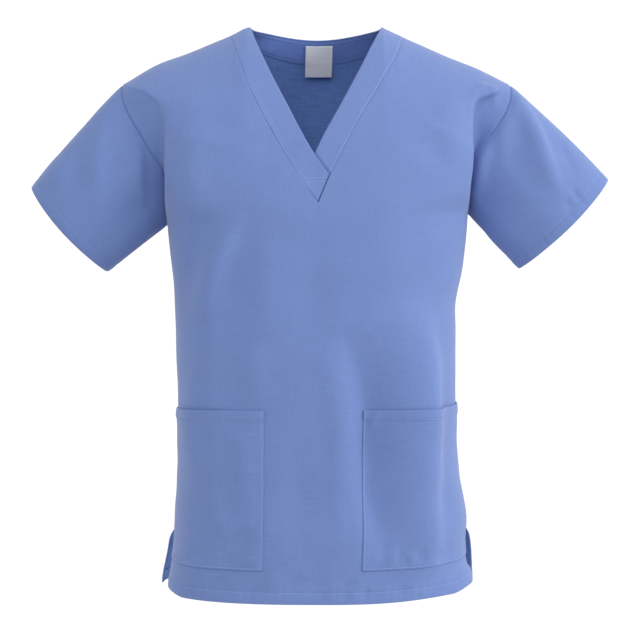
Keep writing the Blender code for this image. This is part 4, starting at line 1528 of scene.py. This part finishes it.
@dataclass
class Pocket:
    """A patch pocket, laid on the front panel's own form, with its mouth a little open.

    Attributes:
        inner_share: its inner edge, above and below, as shares of the half section.
        top: heights of its mouth at its inner edge and at the side.
        creases: creases of the pocket alone.
        gape: how its mouth stands off the panel.
        loose: how far in its own creases are whole.
        side_seam: depth and reach of its roll into the side seam.
        clearance: how far its inner face is off the panel.
        roundness: how far its edges stand out first.
    """

    form: Form
    side: Side
    panel: Panel
    inner_share: Pair
    top: Pair
    creases: tuple[Crease, ...]
    hem: HemFinish
    gape: Rib = Rib(1.2, 0, 26)
    bottom: float = -0.652
    stitched: Rib = Rib(-0.22, 2.2, 0.7)
    puckered: Rib = Rib(0.28, 6, 6)
    pucker_length: float = 8 * MM
    lip: Rib = Rib(-0.45, 0, 0.7)
    loose: float = 12 * MM
    unevenness: float = 0.35 * MM
    wave_length: float = 0.05
    side_seam: Pair = (1.6 * MM, 2.2 * MM)
    clearance: float = 0.15 * MM
    roundness: float = 0.35 * MM
    columns: int = 76
    rows: int = 88
    seed: int = 61

    def __post_init__(self) -> None:
        """Work out the pocket's grid on the panel's form, and finish it.

        A row's points lie at even shares of what is left of the panel's row. The mouth's line is
        lowered towards the side with a share s^1.5, which fades down the pocket with its square.
        """
        form, side, (inner_top, side_top) = self.form, self.side, self.top
        height = max(self.top) - self.bottom
        self.up = crowded(height, self.rows, POCKET_EDGE_PLACES, self.hem.places())
        lines = form.body_lines(Face.FRONT, side, self.bottom + self.up)
        lengths = running_length(lines)[:, -1]
        start = np.interp(self.up, [0, height], self.inner_share[::-1]) * lengths
        wide = lengths - start
        mean = float(wide.mean())
        self.across = crowded(mean, self.columns, POCKET_EDGE_PLACES, EDGE_PLACES)
        places = start[:, None] + self.across * (wide / mean)[:, None]
        points = spread(lines, places)
        lowered = max(self.top) - (inner_top + (side_top - inner_top) * (self.across / mean) ** 1.5)
        points[..., 2] -= (self.up / height)[:, None] ** 2 * lowered
        points *= np.array([side.sign, -1.0, 1.0])
        self.index = numbered(points)
        self.from_inner, self.from_bottom = (grid.ravel() for grid in np.meshgrid(self.across, self.up))
        self.from_side, self.from_top = mean - self.from_inner, height - self.from_bottom
        measure = as_columns(side.sign * places, self.bottom - form.hem_z + self.from_bottom)
        faces = grid_faces(self.index, flip=side is Side.RIGHT)
        self.cloth = Cloth("pocket_" + side.word, points, faces, measure)
        self.finish()

    def finish(self) -> None:
        """Lay the panel's creases and the pocket's own into it, and stand it off the panel."""
        cloth, inner, bottom = self.cloth, self.from_inner, self.from_bottom
        x, _, z = cloth.points.T
        own = self.unevenness * waves(x, z, self.seed + self.side.value, self.wave_length)
        own = (own + relief(self.creases, x, z)) * ease(inner / self.loose) * ease(bottom / self.loose)
        height = (self.panel.heights(x, z) + own) * ease(self.from_side / SIDE_SEAM.calm)
        height += self.hem.heights(self.from_top, inner)
        height += self.puckered.at(bottom) * puckers(inner, self.hem.seed + 2, self.pucker_length)
        height += self.gape.at(self.from_top) * np.sin(np.pi * inner / (inner + self.from_side)) ** 2
        cloth.thicken(self.from_top, self.hem.width)
        edge = np.minimum(inner, bottom)
        height += self.stitched.at(edge) + self.lip.at(edge)
        cloth.lift(height + self.clearance + cloth.thickness + self.roundness)
        cloth.sink(self.from_side, np.array([self.side.sign, 0.0, 0.0]), *self.side_seam)

    def sew(self, stitching: Stitching) -> None:
        """Sew the mouth's hem, the inner edge and the bottom.

        Args:
            stitching: what the stitches are added to.
        """
        column, row = (nearest(places, self.stitched.off * MM) for places in (self.across, self.up))
        hem_row = nearest(self.up[-1] - self.up, self.hem.width)
        stitching.sew_line(self.cloth, self.index[hem_row, 2:-2])
        stitching.sew_line(self.cloth, self.index[row:-1, column])
        stitching.sew_line(self.cloth, self.index[row, column:-2])


@dataclass
class Label:
    """A bare woven label inside the back neck, sewn along its top and hanging free below.

    Attributes:
        inset: how far in front of the band it lies.
        curl: how much further its bottom is.
        follow: how much of the panel's way back it follows.
        tilt: how much its sides lean for each metre of height.
    """

    form: Form
    span_x: Pair = (-0.0155, 0.0190)
    span_z: Pair = (-0.0493, -0.0115)
    inset: float = 3.0 * MM
    curl: float = 0.8 * MM
    follow: float = 0.35
    tilt: float = 0.022
    ripple: float = 0.3 * MM
    thickness: float = 0.5 * MM

    def __post_init__(self) -> None:
        """Work out the label, its own inset in front of the back panel and the band."""
        form, side, (bottom, top) = self.form, Side.LEFT, self.span_z
        x, z = np.linspace(*self.span_x, 30)[:, None], np.linspace(bottom, top, 34)
        middle = np.zeros(1)
        seam_z = form.back_neck_z(side, middle)[0]
        seam_y = form.arc_depth(Face.BACK, side, middle, form.level_at(side, middle, seam_z))[0]
        edge_z, edge_y = -form.neck_back_drop, form.neck_back_depth
        panel_y = form.arc_depth(Face.BACK, side, x, form.level_at(side, x, z))
        up = (z - seam_z) / (edge_z - seam_z)
        reach = form.neck_seam_x[1] + (form.neck_point_x[1] - form.neck_seam_x[1]) * up
        power = form.neck_back_squareness
        curve = (1 - (np.abs(x) / reach) ** power) ** (1 / power)
        band_y = (seam_y + (edge_y - seam_y) * up) * curve
        low = (top - z) / (top - bottom)
        hung = band_y + self.follow * np.maximum(panel_y - band_y, 0)
        y = np.where(z < seam_z, hung, band_y) - self.inset - self.curl * low**3
        y = y - self.ripple * np.sin(9 * low + 60 * x) * low
        points = np.stack(np.broadcast_arrays(x + self.tilt * (z - top), y, z), axis=-1)
        faces = grid_faces(numbered(points), flip=False)
        self.cloth = Cloth("neck_label", points, faces, as_columns(points[..., 0], points[..., 2]))
        self.cloth.thickness[:] = self.thickness


# ---- Finishes ----

Socket = bpy.types.NodeSocket


class Graph:
    """The nodes of a material or a world, added one by one up to its last."""

    def __init__(self, owner: bpy.types.Material | bpy.types.World, last: str) -> None:
        """Open a material's or a world's own nodes.

        Args:
            owner: the material or the world.
            last: the name of its last node before its output.
        """
        owner.use_nodes = True
        self.tree = owner.node_tree
        self.last = self.tree.nodes[last]

    def fill(self, node: bpy.types.Node, inputs: dict[str, object]) -> None:
        """Link sockets to a node's inputs, or set their values.

        Args:
            node: the node.
            inputs: sockets or values, by the input's name or number.
        """
        for name, value in inputs.items():
            socket = node.inputs[int(name)] if name.isdigit() else node.inputs[name]
            if isinstance(value, Socket):
                self.tree.links.new(value, socket)
            else:
                socket.default_value = value

    def put(self, kind: str, inputs: dict[str, object], **settings: object) -> bpy.types.Node:
        """Add a node.

        Args:
            kind: its Blender type without the ShaderNode in front.
            inputs: sockets to link, or values to set, by name or number.
            settings: the node's own settings.

        Returns:
            The node.
        """
        node = self.tree.nodes.new("ShaderNode" + kind)
        for name, value in settings.items():
            setattr(node, name, value)
        self.fill(node, inputs)
        return node

    def math(self, operation: str, *terms: Socket | float) -> Socket:
        """The outcome of one operation on sockets or numbers."""
        inputs = {str(number): term for number, term in enumerate(terms)}
        return self.put("Math", inputs, operation=operation).outputs[0]

    def more(self, start: Socket | float, term: Socket, factor: float) -> Socket:
        """The start plus a factor times a term."""
        return self.math("ADD", self.math("MULTIPLY", term, factor), start)

    def tint(self, colour: Triple, shade: Socket) -> Socket:
        """A colour times a shade."""
        return self.put("VectorMath", {"0": colour, "1": shade}, operation="MULTIPLY").outputs[0]

    def noise(self, vector: Socket, scale: float, detail: float, roughness: float) -> Socket:
        """Noise of -0.5 to 0.5."""
        inputs = {"Vector": vector, "Scale": scale, "Detail": detail, "Roughness": roughness}
        return self.math("SUBTRACT", self.put("TexNoise", inputs).outputs[0], 0.5)

    def thready_noise(self, measure: Socket, across: float, along: float) -> Socket:
        """Noise with grains of a length across and a length along the cloth."""
        mapping = self.put("Mapping", {"Vector": measure, "Scale": (1 / across, 1 / along, 1.0)})
        return self.noise(mapping.outputs[0], 1.0, 2.0, 0.6)


def soft_surface(name: str, roughness: float, sheen: float) -> tuple[bpy.types.Material, Graph]:
    """A material of fibres, and its nodes.

    Args:
        name: the material's name.
        roughness: of its surface.
        sheen: weight of its fuzz.

    Returns:
        The material and its graph.
    """
    material = bpy.data.materials.new(name)
    graph = Graph(material, "Principled BSDF")
    surface = {"Roughness": roughness, "Sheen Weight": sheen, "Sheen Roughness": 0.45}
    graph.fill(graph.last, surface | {"Specular IOR Level": 0.25})
    return material, graph


@dataclass(frozen=True)
class Weave:
    """A plain-woven cloth's finish: its colour, its threads and how uneven they are."""

    name: str
    colour: Triple
    thread: float = 0.8 * MM
    relief: float = 0.10 * MM
    slub: float = 0.20
    slub_across: float = 1.0
    slub_thickness: float = 1.6 * MM
    weft_slub: float = 22 * MM
    warp_slub: float = 26 * MM
    warp_share: float = 0.8
    weave_shade: float = 0.05
    weave_height: float = 0.5
    mottle: float = 0.10
    roughness: float = 0.88
    sheen: float = 0.25

    def make(self) -> bpy.types.Material:
        """Make the material.

        The weave's height is the product of two sine waves a thread apart across and along the
        cloth. Slubs are noise stretched along each set of threads. They change colour and height.

        Returns:
            The material.
        """
        material, graph = soft_surface(self.name, self.roughness, self.sheen)
        measure = graph.put("UVMap", {}, uv_map="measure").outputs[0]
        place = graph.put("TexCoord", {}).outputs["Object"]
        split = graph.put("SeparateXYZ", {"0": measure})
        rate = 2 * np.pi / self.thread
        ways = [graph.math("SINE", graph.math("MULTIPLY", split.outputs[axis], rate)) for axis in (0, 1)]
        weave = graph.math("MULTIPLY", *ways)
        weft = graph.thready_noise(measure, self.weft_slub, self.slub_thickness / self.slub_across)
        warp = graph.thready_noise(measure, self.slub_thickness, self.warp_slub)
        slub = graph.more(weft, warp, self.warp_share)
        shade = graph.more(1.0, slub, self.slub)
        shade = graph.more(shade, graph.noise(place, 14.0, 3.0, 0.55), self.mottle)
        shade = graph.more(shade, weave, self.weave_shade)
        height = graph.more(slub, weave, self.weave_height)
        bump = graph.put("Bump", {"Height": height, "Distance": self.relief, "Strength": 0.6})
        graph.fill(graph.last, {"Base Color": graph.tint(self.colour, shade), "Normal": bump.outputs[0]})
        return material


@dataclass(frozen=True)
class Thread:
    """Sewing thread: its colour, and its twist as a fine bump."""

    name: str = "thread"
    colour: Triple = (0.30, 0.40, 0.74)

    def make(self) -> bpy.types.Material:
        """Make the material, with bands of about a millimetre across the stitches for its twist.

        Returns:
            The material.
        """
        material, graph = soft_surface(self.name, 0.6, 0.1)
        place = graph.put("TexCoord", {}).outputs["Object"]
        bands = {"Vector": place, "Scale": 900.0, "Distortion": 1.5}
        wave = graph.put("TexWave", bands, wave_type="BANDS", bands_direction="DIAGONAL").outputs[1]
        colour = graph.tint(self.colour, graph.more(0.9, wave, 0.2))
        bump = graph.put("Bump", {"Height": wave, "Distance": 0.05 * MM, "Strength": 0.5})
        graph.fill(graph.last, {"Base Color": colour, "Normal": bump.outputs[0]})
        return material


# ---- Studio ----


@dataclass(frozen=True)
class Softbox:
    """A soft square light."""

    name: str
    place: Triple
    size: float
    power: float

    def build(self, aim: Triple) -> None:
        """Hang the light where it belongs.

        Args:
            aim: the place that it faces.
        """
        light = bpy.data.lights.new(self.name, "AREA")
        light.energy, light.size = self.power, self.size
        lamp = into_scene(self.name, light)
        lamp.location = self.place
        x, y, z = np.array(self.place) - np.array(aim)
        lamp.rotation_euler = (np.arctan2(np.hypot(x, y), z), 0.0, np.arctan2(x, -y))


@dataclass(frozen=True)
class Studio:
    """A plain pale floor, plain soft light and a camera straight in front.

    Attributes:
        aim: what the lights are turned to.
        front_light: the room's strength in front of the top.
        at_right: how much stronger on the wearer's left.
        at_sides: how much stronger on both sides, with the square of the direction.
        at_top: how much stronger above.
        back_light: its strength behind the top.
        back_ramp: between which directions along Y it gives way.
    """

    camera_place: Triple = (-0.0074, -2.1, -0.3502)
    lens: float = 98.42
    sensor: float = 36.0
    near: float = 0.05
    aim: Triple = (0.0, 0.0, -0.35)
    floor_z: float = -1.35
    floor_rings: tuple[float, ...] = (0.02, 0.6, 1.2, 1.9)
    floor_shade: float = 0.74
    front_light: float = 0.442
    at_right: float = 0.155
    at_sides: float = 0.68
    at_top: float = 0.20
    back_light: float = 1.06
    back_ramp: Pair = (-0.1, 0.9)
    boxes: tuple[Softbox, ...] = (
        Softbox("key", (2.6, -1.2, 0.9), 1.4, 42.0),
        Softbox("fill", (-0.25, -1.6, 0.65), 1.0, 9.5),
    )

    def build(self) -> None:
        """Make the camera, the lights, the floor and the world."""
        scene = bpy.context.scene
        lens = bpy.data.cameras.new("camera")
        lens.lens, lens.sensor_width, lens.clip_start = self.lens, self.sensor, self.near
        scene.camera = into_scene("camera", lens)
        scene.camera.location = self.camera_place
        scene.camera.rotation_euler = (np.pi / 2, 0.0, 0.0)
        for box in self.boxes:
            box.build(self.aim)
        self.floor()
        self.world()
        scene.view_settings.view_transform = "Standard"

    def floor(self) -> None:
        """A round pale floor, rings of quads round a small disc, well below the top."""
        turn = np.linspace(0, 2 * np.pi, 97)[:-1]
        rings = np.array(self.floor_rings)[:, None]
        flat = np.stack([rings * np.cos(turn), rings * np.sin(turn), self.floor_z + 0 * rings * turn], -1)
        index = numbered(flat)
        faces = grid_faces(wrapped(index), flip=True).tolist() + [index[0].tolist()]
        paint = bpy.data.materials.new("floor")
        graph = Graph(paint, "Principled BSDF")
        graph.fill(graph.last, {"Base Color": (*[self.floor_shade] * 3, 1.0), "Roughness": 0.9})
        new_object("floor", flat.reshape(-1, 3), faces, paint)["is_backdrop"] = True

    def world(self) -> None:
        """A white room that is brighter behind the top than in front of it.

        For a direction (x, y, z) its strength in front is front + right x + sides x^2 + top z. It
        goes over into the back's strength with a smooth step along y.
        """
        world = bpy.data.worlds.new("studio")
        bpy.context.scene.world = world
        graph = Graph(world, "Background")
        place = graph.put("TexCoord", {}).outputs["Generated"]
        x, y, z = graph.put("SeparateXYZ", {"0": place}).outputs
        strength = self.front_light
        for axis, more, power in ((x, self.at_right, 1.0), (x, self.at_sides, 2.0), (z, self.at_top, 1.0)):
            strength = graph.math("MULTIPLY_ADD", graph.math("POWER", axis, power), more, strength)
        low, high = self.back_ramp
        ramp = {"Value": y, "From Min": low, "From Max": high, "To Min": strength}
        ramp["To Max"] = self.back_light
        mixed = graph.put("MapRange", ramp, interpolation_type="SMOOTHSTEP").outputs[0]
        graph.fill(graph.last, {"Color": (1.0, 1.0, 1.0, 1.0), "Strength": mixed})


# ---- The top ----

FRONT_CREASES = (
    # The fullness beside the right of the body, over which the rest lies.
    Crease(5.5, 22, ((-142, -190), (-132, -350), (-132, -520), (-142, -660)), start=0.2, end=0.5),
    Crease(5, 21, ((-147, -110), (-152, -200), (-152, -310)), start=0.2),
    Crease(4.5, 24, ((156, -85), (164, -195))),
    # The fold that falls from the right of the chest.
    Crease(7.5, 14, ((-88, -232), (-104, -258), (-117, -292), (-126, -324), (-138, -366)), lean=0.2),
    Crease(-3.6, 13, ((-124, -236), (-140, -262), (-146, -300), (-152, -336))),
    # The chest.
    Crease(1.7, 10, ((-175, -145), (-133, -149), (-90, -158)), lean=-0.3, start=0.4),
    Crease(-1.7, 13, ((-172, -180), (-115, -178))),
    Crease(1.9, 10, ((120, -128), (153, -143), (180, -158)), lean=0.3, end=0.5),
    Crease(-1.9, 13, ((122, -162), (168, -184)), end=0.5),
    Crease(1.4, 16, ((104, -75), (124, -130))),
    Crease(-3, 22, ((-6, -250), (-7, -324), (-2, -400))),
    Crease(2.8, 18, ((-58, -250), (-63, -324), (-60, -392))),
    Crease(2.2, 26, ((78, -180), (88, -278), (90, -350))),
    # The long hollow at the left of the waist, which runs on under the pocket, and its two crests.
    Crease(-14, 20, ((34, -365), (50, -425), (56, -464), (57, -510), (60, -556), (74, -640)), lean=-0.4),
    Crease(2.8, 14, ((-6, -372), (16, -430), (24, -487), (24, -568), (28, -650))),
    Crease(20, 23, ((115, -335), (125, -410), (124, -546), (128, -640)), lean=0.45, end=0.4),
    # The right of the waist.
    Crease(2.4, 15, ((-77, -382), (-74, -460))),
    Crease(3, 14, ((-87, -490), (-88, -580))),
    Crease(2.6, 11, ((-124, -552), (-112, -618))),
    Crease(2.6, 14, ((-148, -410), (-154, -480), (-146, -560))),
    Crease(-2.4, 18, ((-28, -480), (-22, -570), (-26, -650))),
    # The crisp fold beside the left arm, which arches over at its top, and the tuck inside it.
    Crease(2.3, 5.5, ((183, -195), (183, -150), (184, -108), (188, -87), (197, -79)), start=0.2, end=0.8),
    Crease(2, 5.5, ((197, -79), (207, -80), (213, -92), (214, -106)), start=0.8),
    Crease(-5, 9, ((198, -87), (191, -100), (188.5, -122), (187.5, -150), (187, -178)), lean=-0.6),
    Crease(3.4, 7, ((226, -80), (208, -84), (194, -94)), start=0.3, end=0.3),
    # The fullness at the top of the tuck beside the right arm, and the tuck.
    Crease(2.6, 9, ((-226, -83), (-206, -91), (-194, -104), (-190, -122)), start=0.3),
    Crease(2, 11, ((-230, -90), (-212, -100), (-204, -124)), start=0.3),
    Crease(-3, 6, ((-191, -98), (-188, -130), (-186, -170))),
    # Crinkles above the hem.
    Crease(-1.7, 7, ((-92, -684), (-56, -661))),
    Crease(1.7, 6, ((-66, -676), (-40, -655))),
    Crease(-1.7, 7, ((-42, -680), (-16, -656))),
    Crease(-1.3, 7, ((-18, -676), (14, -660))),
    Crease(1.5, 6, ((4, -682), (30, -662))),
    Crease(-1.7, 6, ((20, -684), (46, -660))),
    Crease(1.4, 4, ((34, -686), (50, -672))),
    Crease(-1.4, 4, ((48, -686), (62, -672))),
    Crease(1.4, 5, ((70, -686), (86, -668))),
    Crease(-1.4, 5, ((92, -685), (104, -668))),
    Crease(-1.7, 6, ((-134, -682), (-108, -662))),
    Crease(-1.4, 6, ((126, -682), (148, -664))),
)
BACK_CREASES = (
    Crease(-7.5, 16, ((122, -260), (114, -345), (95, -450)), lean=0.3),
    Crease(4.5, 14, ((150, -270), (140, -350), (128, -430))),
    Crease(-7.5, 17, ((-118, -350), (-104, -460), (-88, -590)), lean=-0.2),
    Crease(4.5, 15, ((-150, -330), (-144, -420), (-132, -520))),
    Crease(-4.8, 16, ((30, -335), (40, -420), (50, -510))),
    Crease(4.8, 20, ((-40, -290), (-55, -400), (-50, -530))),
    Crease(5.4, 17, ((78, -410), (70, -520), (80, -660)), end=0.5),
    Crease(2.7, 26, ((0, -85), (10, -165), (0, -240))),
    Crease(-4.8, 14, ((-140, -135), (-95, -195), (-62, -290))),
    Crease(-4.2, 15, ((145, -145), (104, -212), (66, -300))),
    Crease(2.7, 14, ((-100, -130), (-60, -180), (-30, -250))),
    Crease(-3.6, 15, ((-12, -540), (0, -630), (-4, -690)), end=0.7),
    Crease(-3.6, 14, ((128, -540), (118, -630), (126, -690)), end=0.6),
    Crease(3, 14, ((-70, -600), (-62, -690)), end=0.8),
    Crease(-2, 5, ((-60, -678), (-30, -664))),
    Crease(-1.8, 5, ((30, -680), (52, -662))),
    Crease(-1.7, 5, ((90, -679), (112, -665))),
)
SLEEVE_CREASES = (
    {
        Face.FRONT: (
            Crease(3.8, 13, ((-256, -92), (-262, -144), (-262, -200), (-262, -250)), lean=0.2),
            Crease(-2.6, 12, ((-276, -118), (-288, -170), (-292, -215))),
            Crease(2.6, 12, ((-310, -160), (-322, -205))),
            Crease(5, 11, ((-214, -142), (-217, -185), (-216, -225)), lean=0.5),
            Crease(7.5, 19, ((-194, -236), (-228, -262), (-250, -284)), start=0.3, end=0.6),
            Crease(-1.6, 5, ((-250, -282), (-262, -290))),
        ),
        Face.BACK: (
            Crease(-4, 13, ((-252, -105), (-270, -160), (-282, -230))),
            Crease(2.8, 12, ((-270, -110), (-295, -165), (-306, -220))),
            Crease(2.4, 13, ((-226, -140), (-230, -195), (-236, -250))),
        ),
    },
    {
        Face.FRONT: (
            Crease(
                9,
                13,
                ((234, -84), (250, -112), (263, -141), (274, -172), (284, -199), (296, -216)),
                lean=0.3,
                start=0.25,
            ),
            Crease(-1.4, 9, ((232, -94), (244, -126), (252, -160))),
            Crease(2.4, 10, ((226, -104), (222, -138), (222, -180))),
            Crease(5, 8, ((206, -140), (196, -172), (192, -208), (194, -232))),
            Crease(8, 19, ((198, -234), (224, -258), (244, -280)), start=0.4, end=0.6),
            Crease(-2.2, 4, ((303, -199), (313, -213), (325, -224))),
            Crease(-1.8, 4.5, ((295, -214), (309, -231))),
            Crease(-2.4, 7, ((290, -138), (302, -168), (314, -192))),
        ),
        Face.BACK: (
            Crease(-4.2, 13, ((245, -100), (272, -155), (288, -222))),
            Crease(3, 11, ((265, -105), (298, -160), (312, -212))),
            Crease(2.2, 13, ((224, -140), (230, -200), (232, -250))),
        ),
    },
)
POCKET_CREASES = (
    (
        Crease(-1.8, 7, ((-103, -628), (-78, -602))),
        Crease(1.3, 6, ((-94, -612), (-74, -592))),
        Crease(-1.3, 5, ((-149, -648), (-141, -624))),
        Crease(-1.1, 5, ((-112, -648), (-102, -632))),
        Crease(1.1, 12, ((-116, -480), (-82, -516))),
        Crease(1.2, 15, ((-140, -515), (-100, -570))),
    ),
    (
        Crease(2, 5, ((73, -460), (59, -492))),
        Crease(-2, 5, ((71, -642), (82, -618))),
        Crease(1.6, 4.5, ((80, -645), (92, -626))),
        Crease(-2, 5, ((92, -650), (99, -630))),
        Crease(1.5, 5, ((106, -650), (108, -630))),
        Crease(-1.9, 5.5, ((120, -650), (116, -622))),
        Crease(-1.4, 5.5, ((136, -648), (142, -628))),
    ),
)
SLEEVE_HEM_TOP = ((0.3520, -0.1970), (0.3565, -0.1870))
SLEEVE_HEM_UNDER = ((0.2591, -0.3005), (0.2466, -0.2968))
POCKET_INNER_SHARE = ((0.2645, 0.2655), (0.230, 0.207))
POCKET_TOP = ((-0.4650, -0.4665), (-0.4650, -0.4600))

CUTS = {
    "front_panel": Cut(0.56, 0.72, 0.315),
    "back_panel": Cut(0.56, 0.76, 0.324),
    "sleeve_right": Cut(0.45, 0.23, 0.060),
    "sleeve_left": Cut(0.45, 0.23, 0.061),
    "neckband_right": Cut(0.031, 0.27, 0.0080),
    "neckband_left": Cut(0.031, 0.27, 0.0081),
    "neckband_back": Cut(0.27, 0.031, 0.0079),
    "pocket_right": Cut(0.19, 0.19, 0.034),
    "pocket_left": Cut(0.20, 0.20, 0.037),
    "neck_label": Cut(0.036, 0.040, 0.0014),
}


def main() -> None:
    """Dress the solids and light them."""
    logging.basicConfig(level=logging.INFO, format="%(name)s: %(message)s")
    cad_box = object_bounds()
    Studio().build()
    form = Form()
    outside = Weave("scrub_cloth", (0.155, 0.232, 0.505)).make()
    # The reverse face has coarser slubs and little sheen. Its colour is a little brighter and bluer than
    # the outside's, which is painted light that makes up for the dim light inside the top.
    hidden = {"slub_across": 0.6, "sheen": 0.05}
    inside = Weave("scrub_cloth_inside_painted_light", (0.145, 0.256, 0.590), slub=0.5, **hidden).make()
    # The neckband's inside is a darker copy of the reverse face: painted shade.
    band_inside_painted_shade = Weave("neckband_inside_painted_shade", (0.117, 0.195, 0.500), slub=0.3, **hidden).make()
    woven_label = Weave("label_cloth", (0.71, 0.73, 0.79), thread=0.5 * MM, slub=0.1, roughness=0.6).make()
    thread = Thread().make()
    front = Panel(form, Face.FRONT, FRONT_CREASES, HemFinish())
    back = Panel(form, Face.BACK, BACK_CREASES, HemFinish(seed=4), seed=9)
    pieces: list[Panel | Sleeve | FrontBand | BackBand | Pocket | Label] = [front, back]
    for side in Side:
        at = side.value
        cuff = HemFinish(width=14 * MM, turn_in=1.6 * MM, seed=6 + at)
        corners = (SLEEVE_HEM_TOP[at], SLEEVE_HEM_UNDER[at])
        pieces.append(Sleeve(form, side, SLEEVE_CREASES[at], cuff, *corners, seed=11 + at))
        pieces.append(FrontBand(form, side, front.v_tip_level))
        mouth = HemFinish(width=12 * MM, seed=16 + at)
        shape = (POCKET_INNER_SHARE[at], POCKET_TOP[at], POCKET_CREASES[at])
        pieces.append(Pocket(form, side, front, *shape, mouth))
    pieces += [BackBand(form), Label(form)]
    # The back band's inner face takes the darker copy, which is painted shade.
    faces = {"neck_label": (woven_label, woven_label), "neckband_back": (outside, band_inside_painted_shade)}
    stitching = Stitching()
    for piece in pieces:
        if not isinstance(piece, Label):
            piece.sew(stitching)
        name = piece.cloth.name
        piece.cloth.build(CUTS[name], *faces.get(name, (outside, inside)))
    stitching.build(thread)
    boxes = {"cad": cad_box, "visual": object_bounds()}
    plain = {name: [[float(value) for value in corner] for corner in box] for name, box in boxes.items()}
    for name, box in plain.items():
        LOG.info("%s box: %s", name, box)


if __name__ == "__main__":
    main()
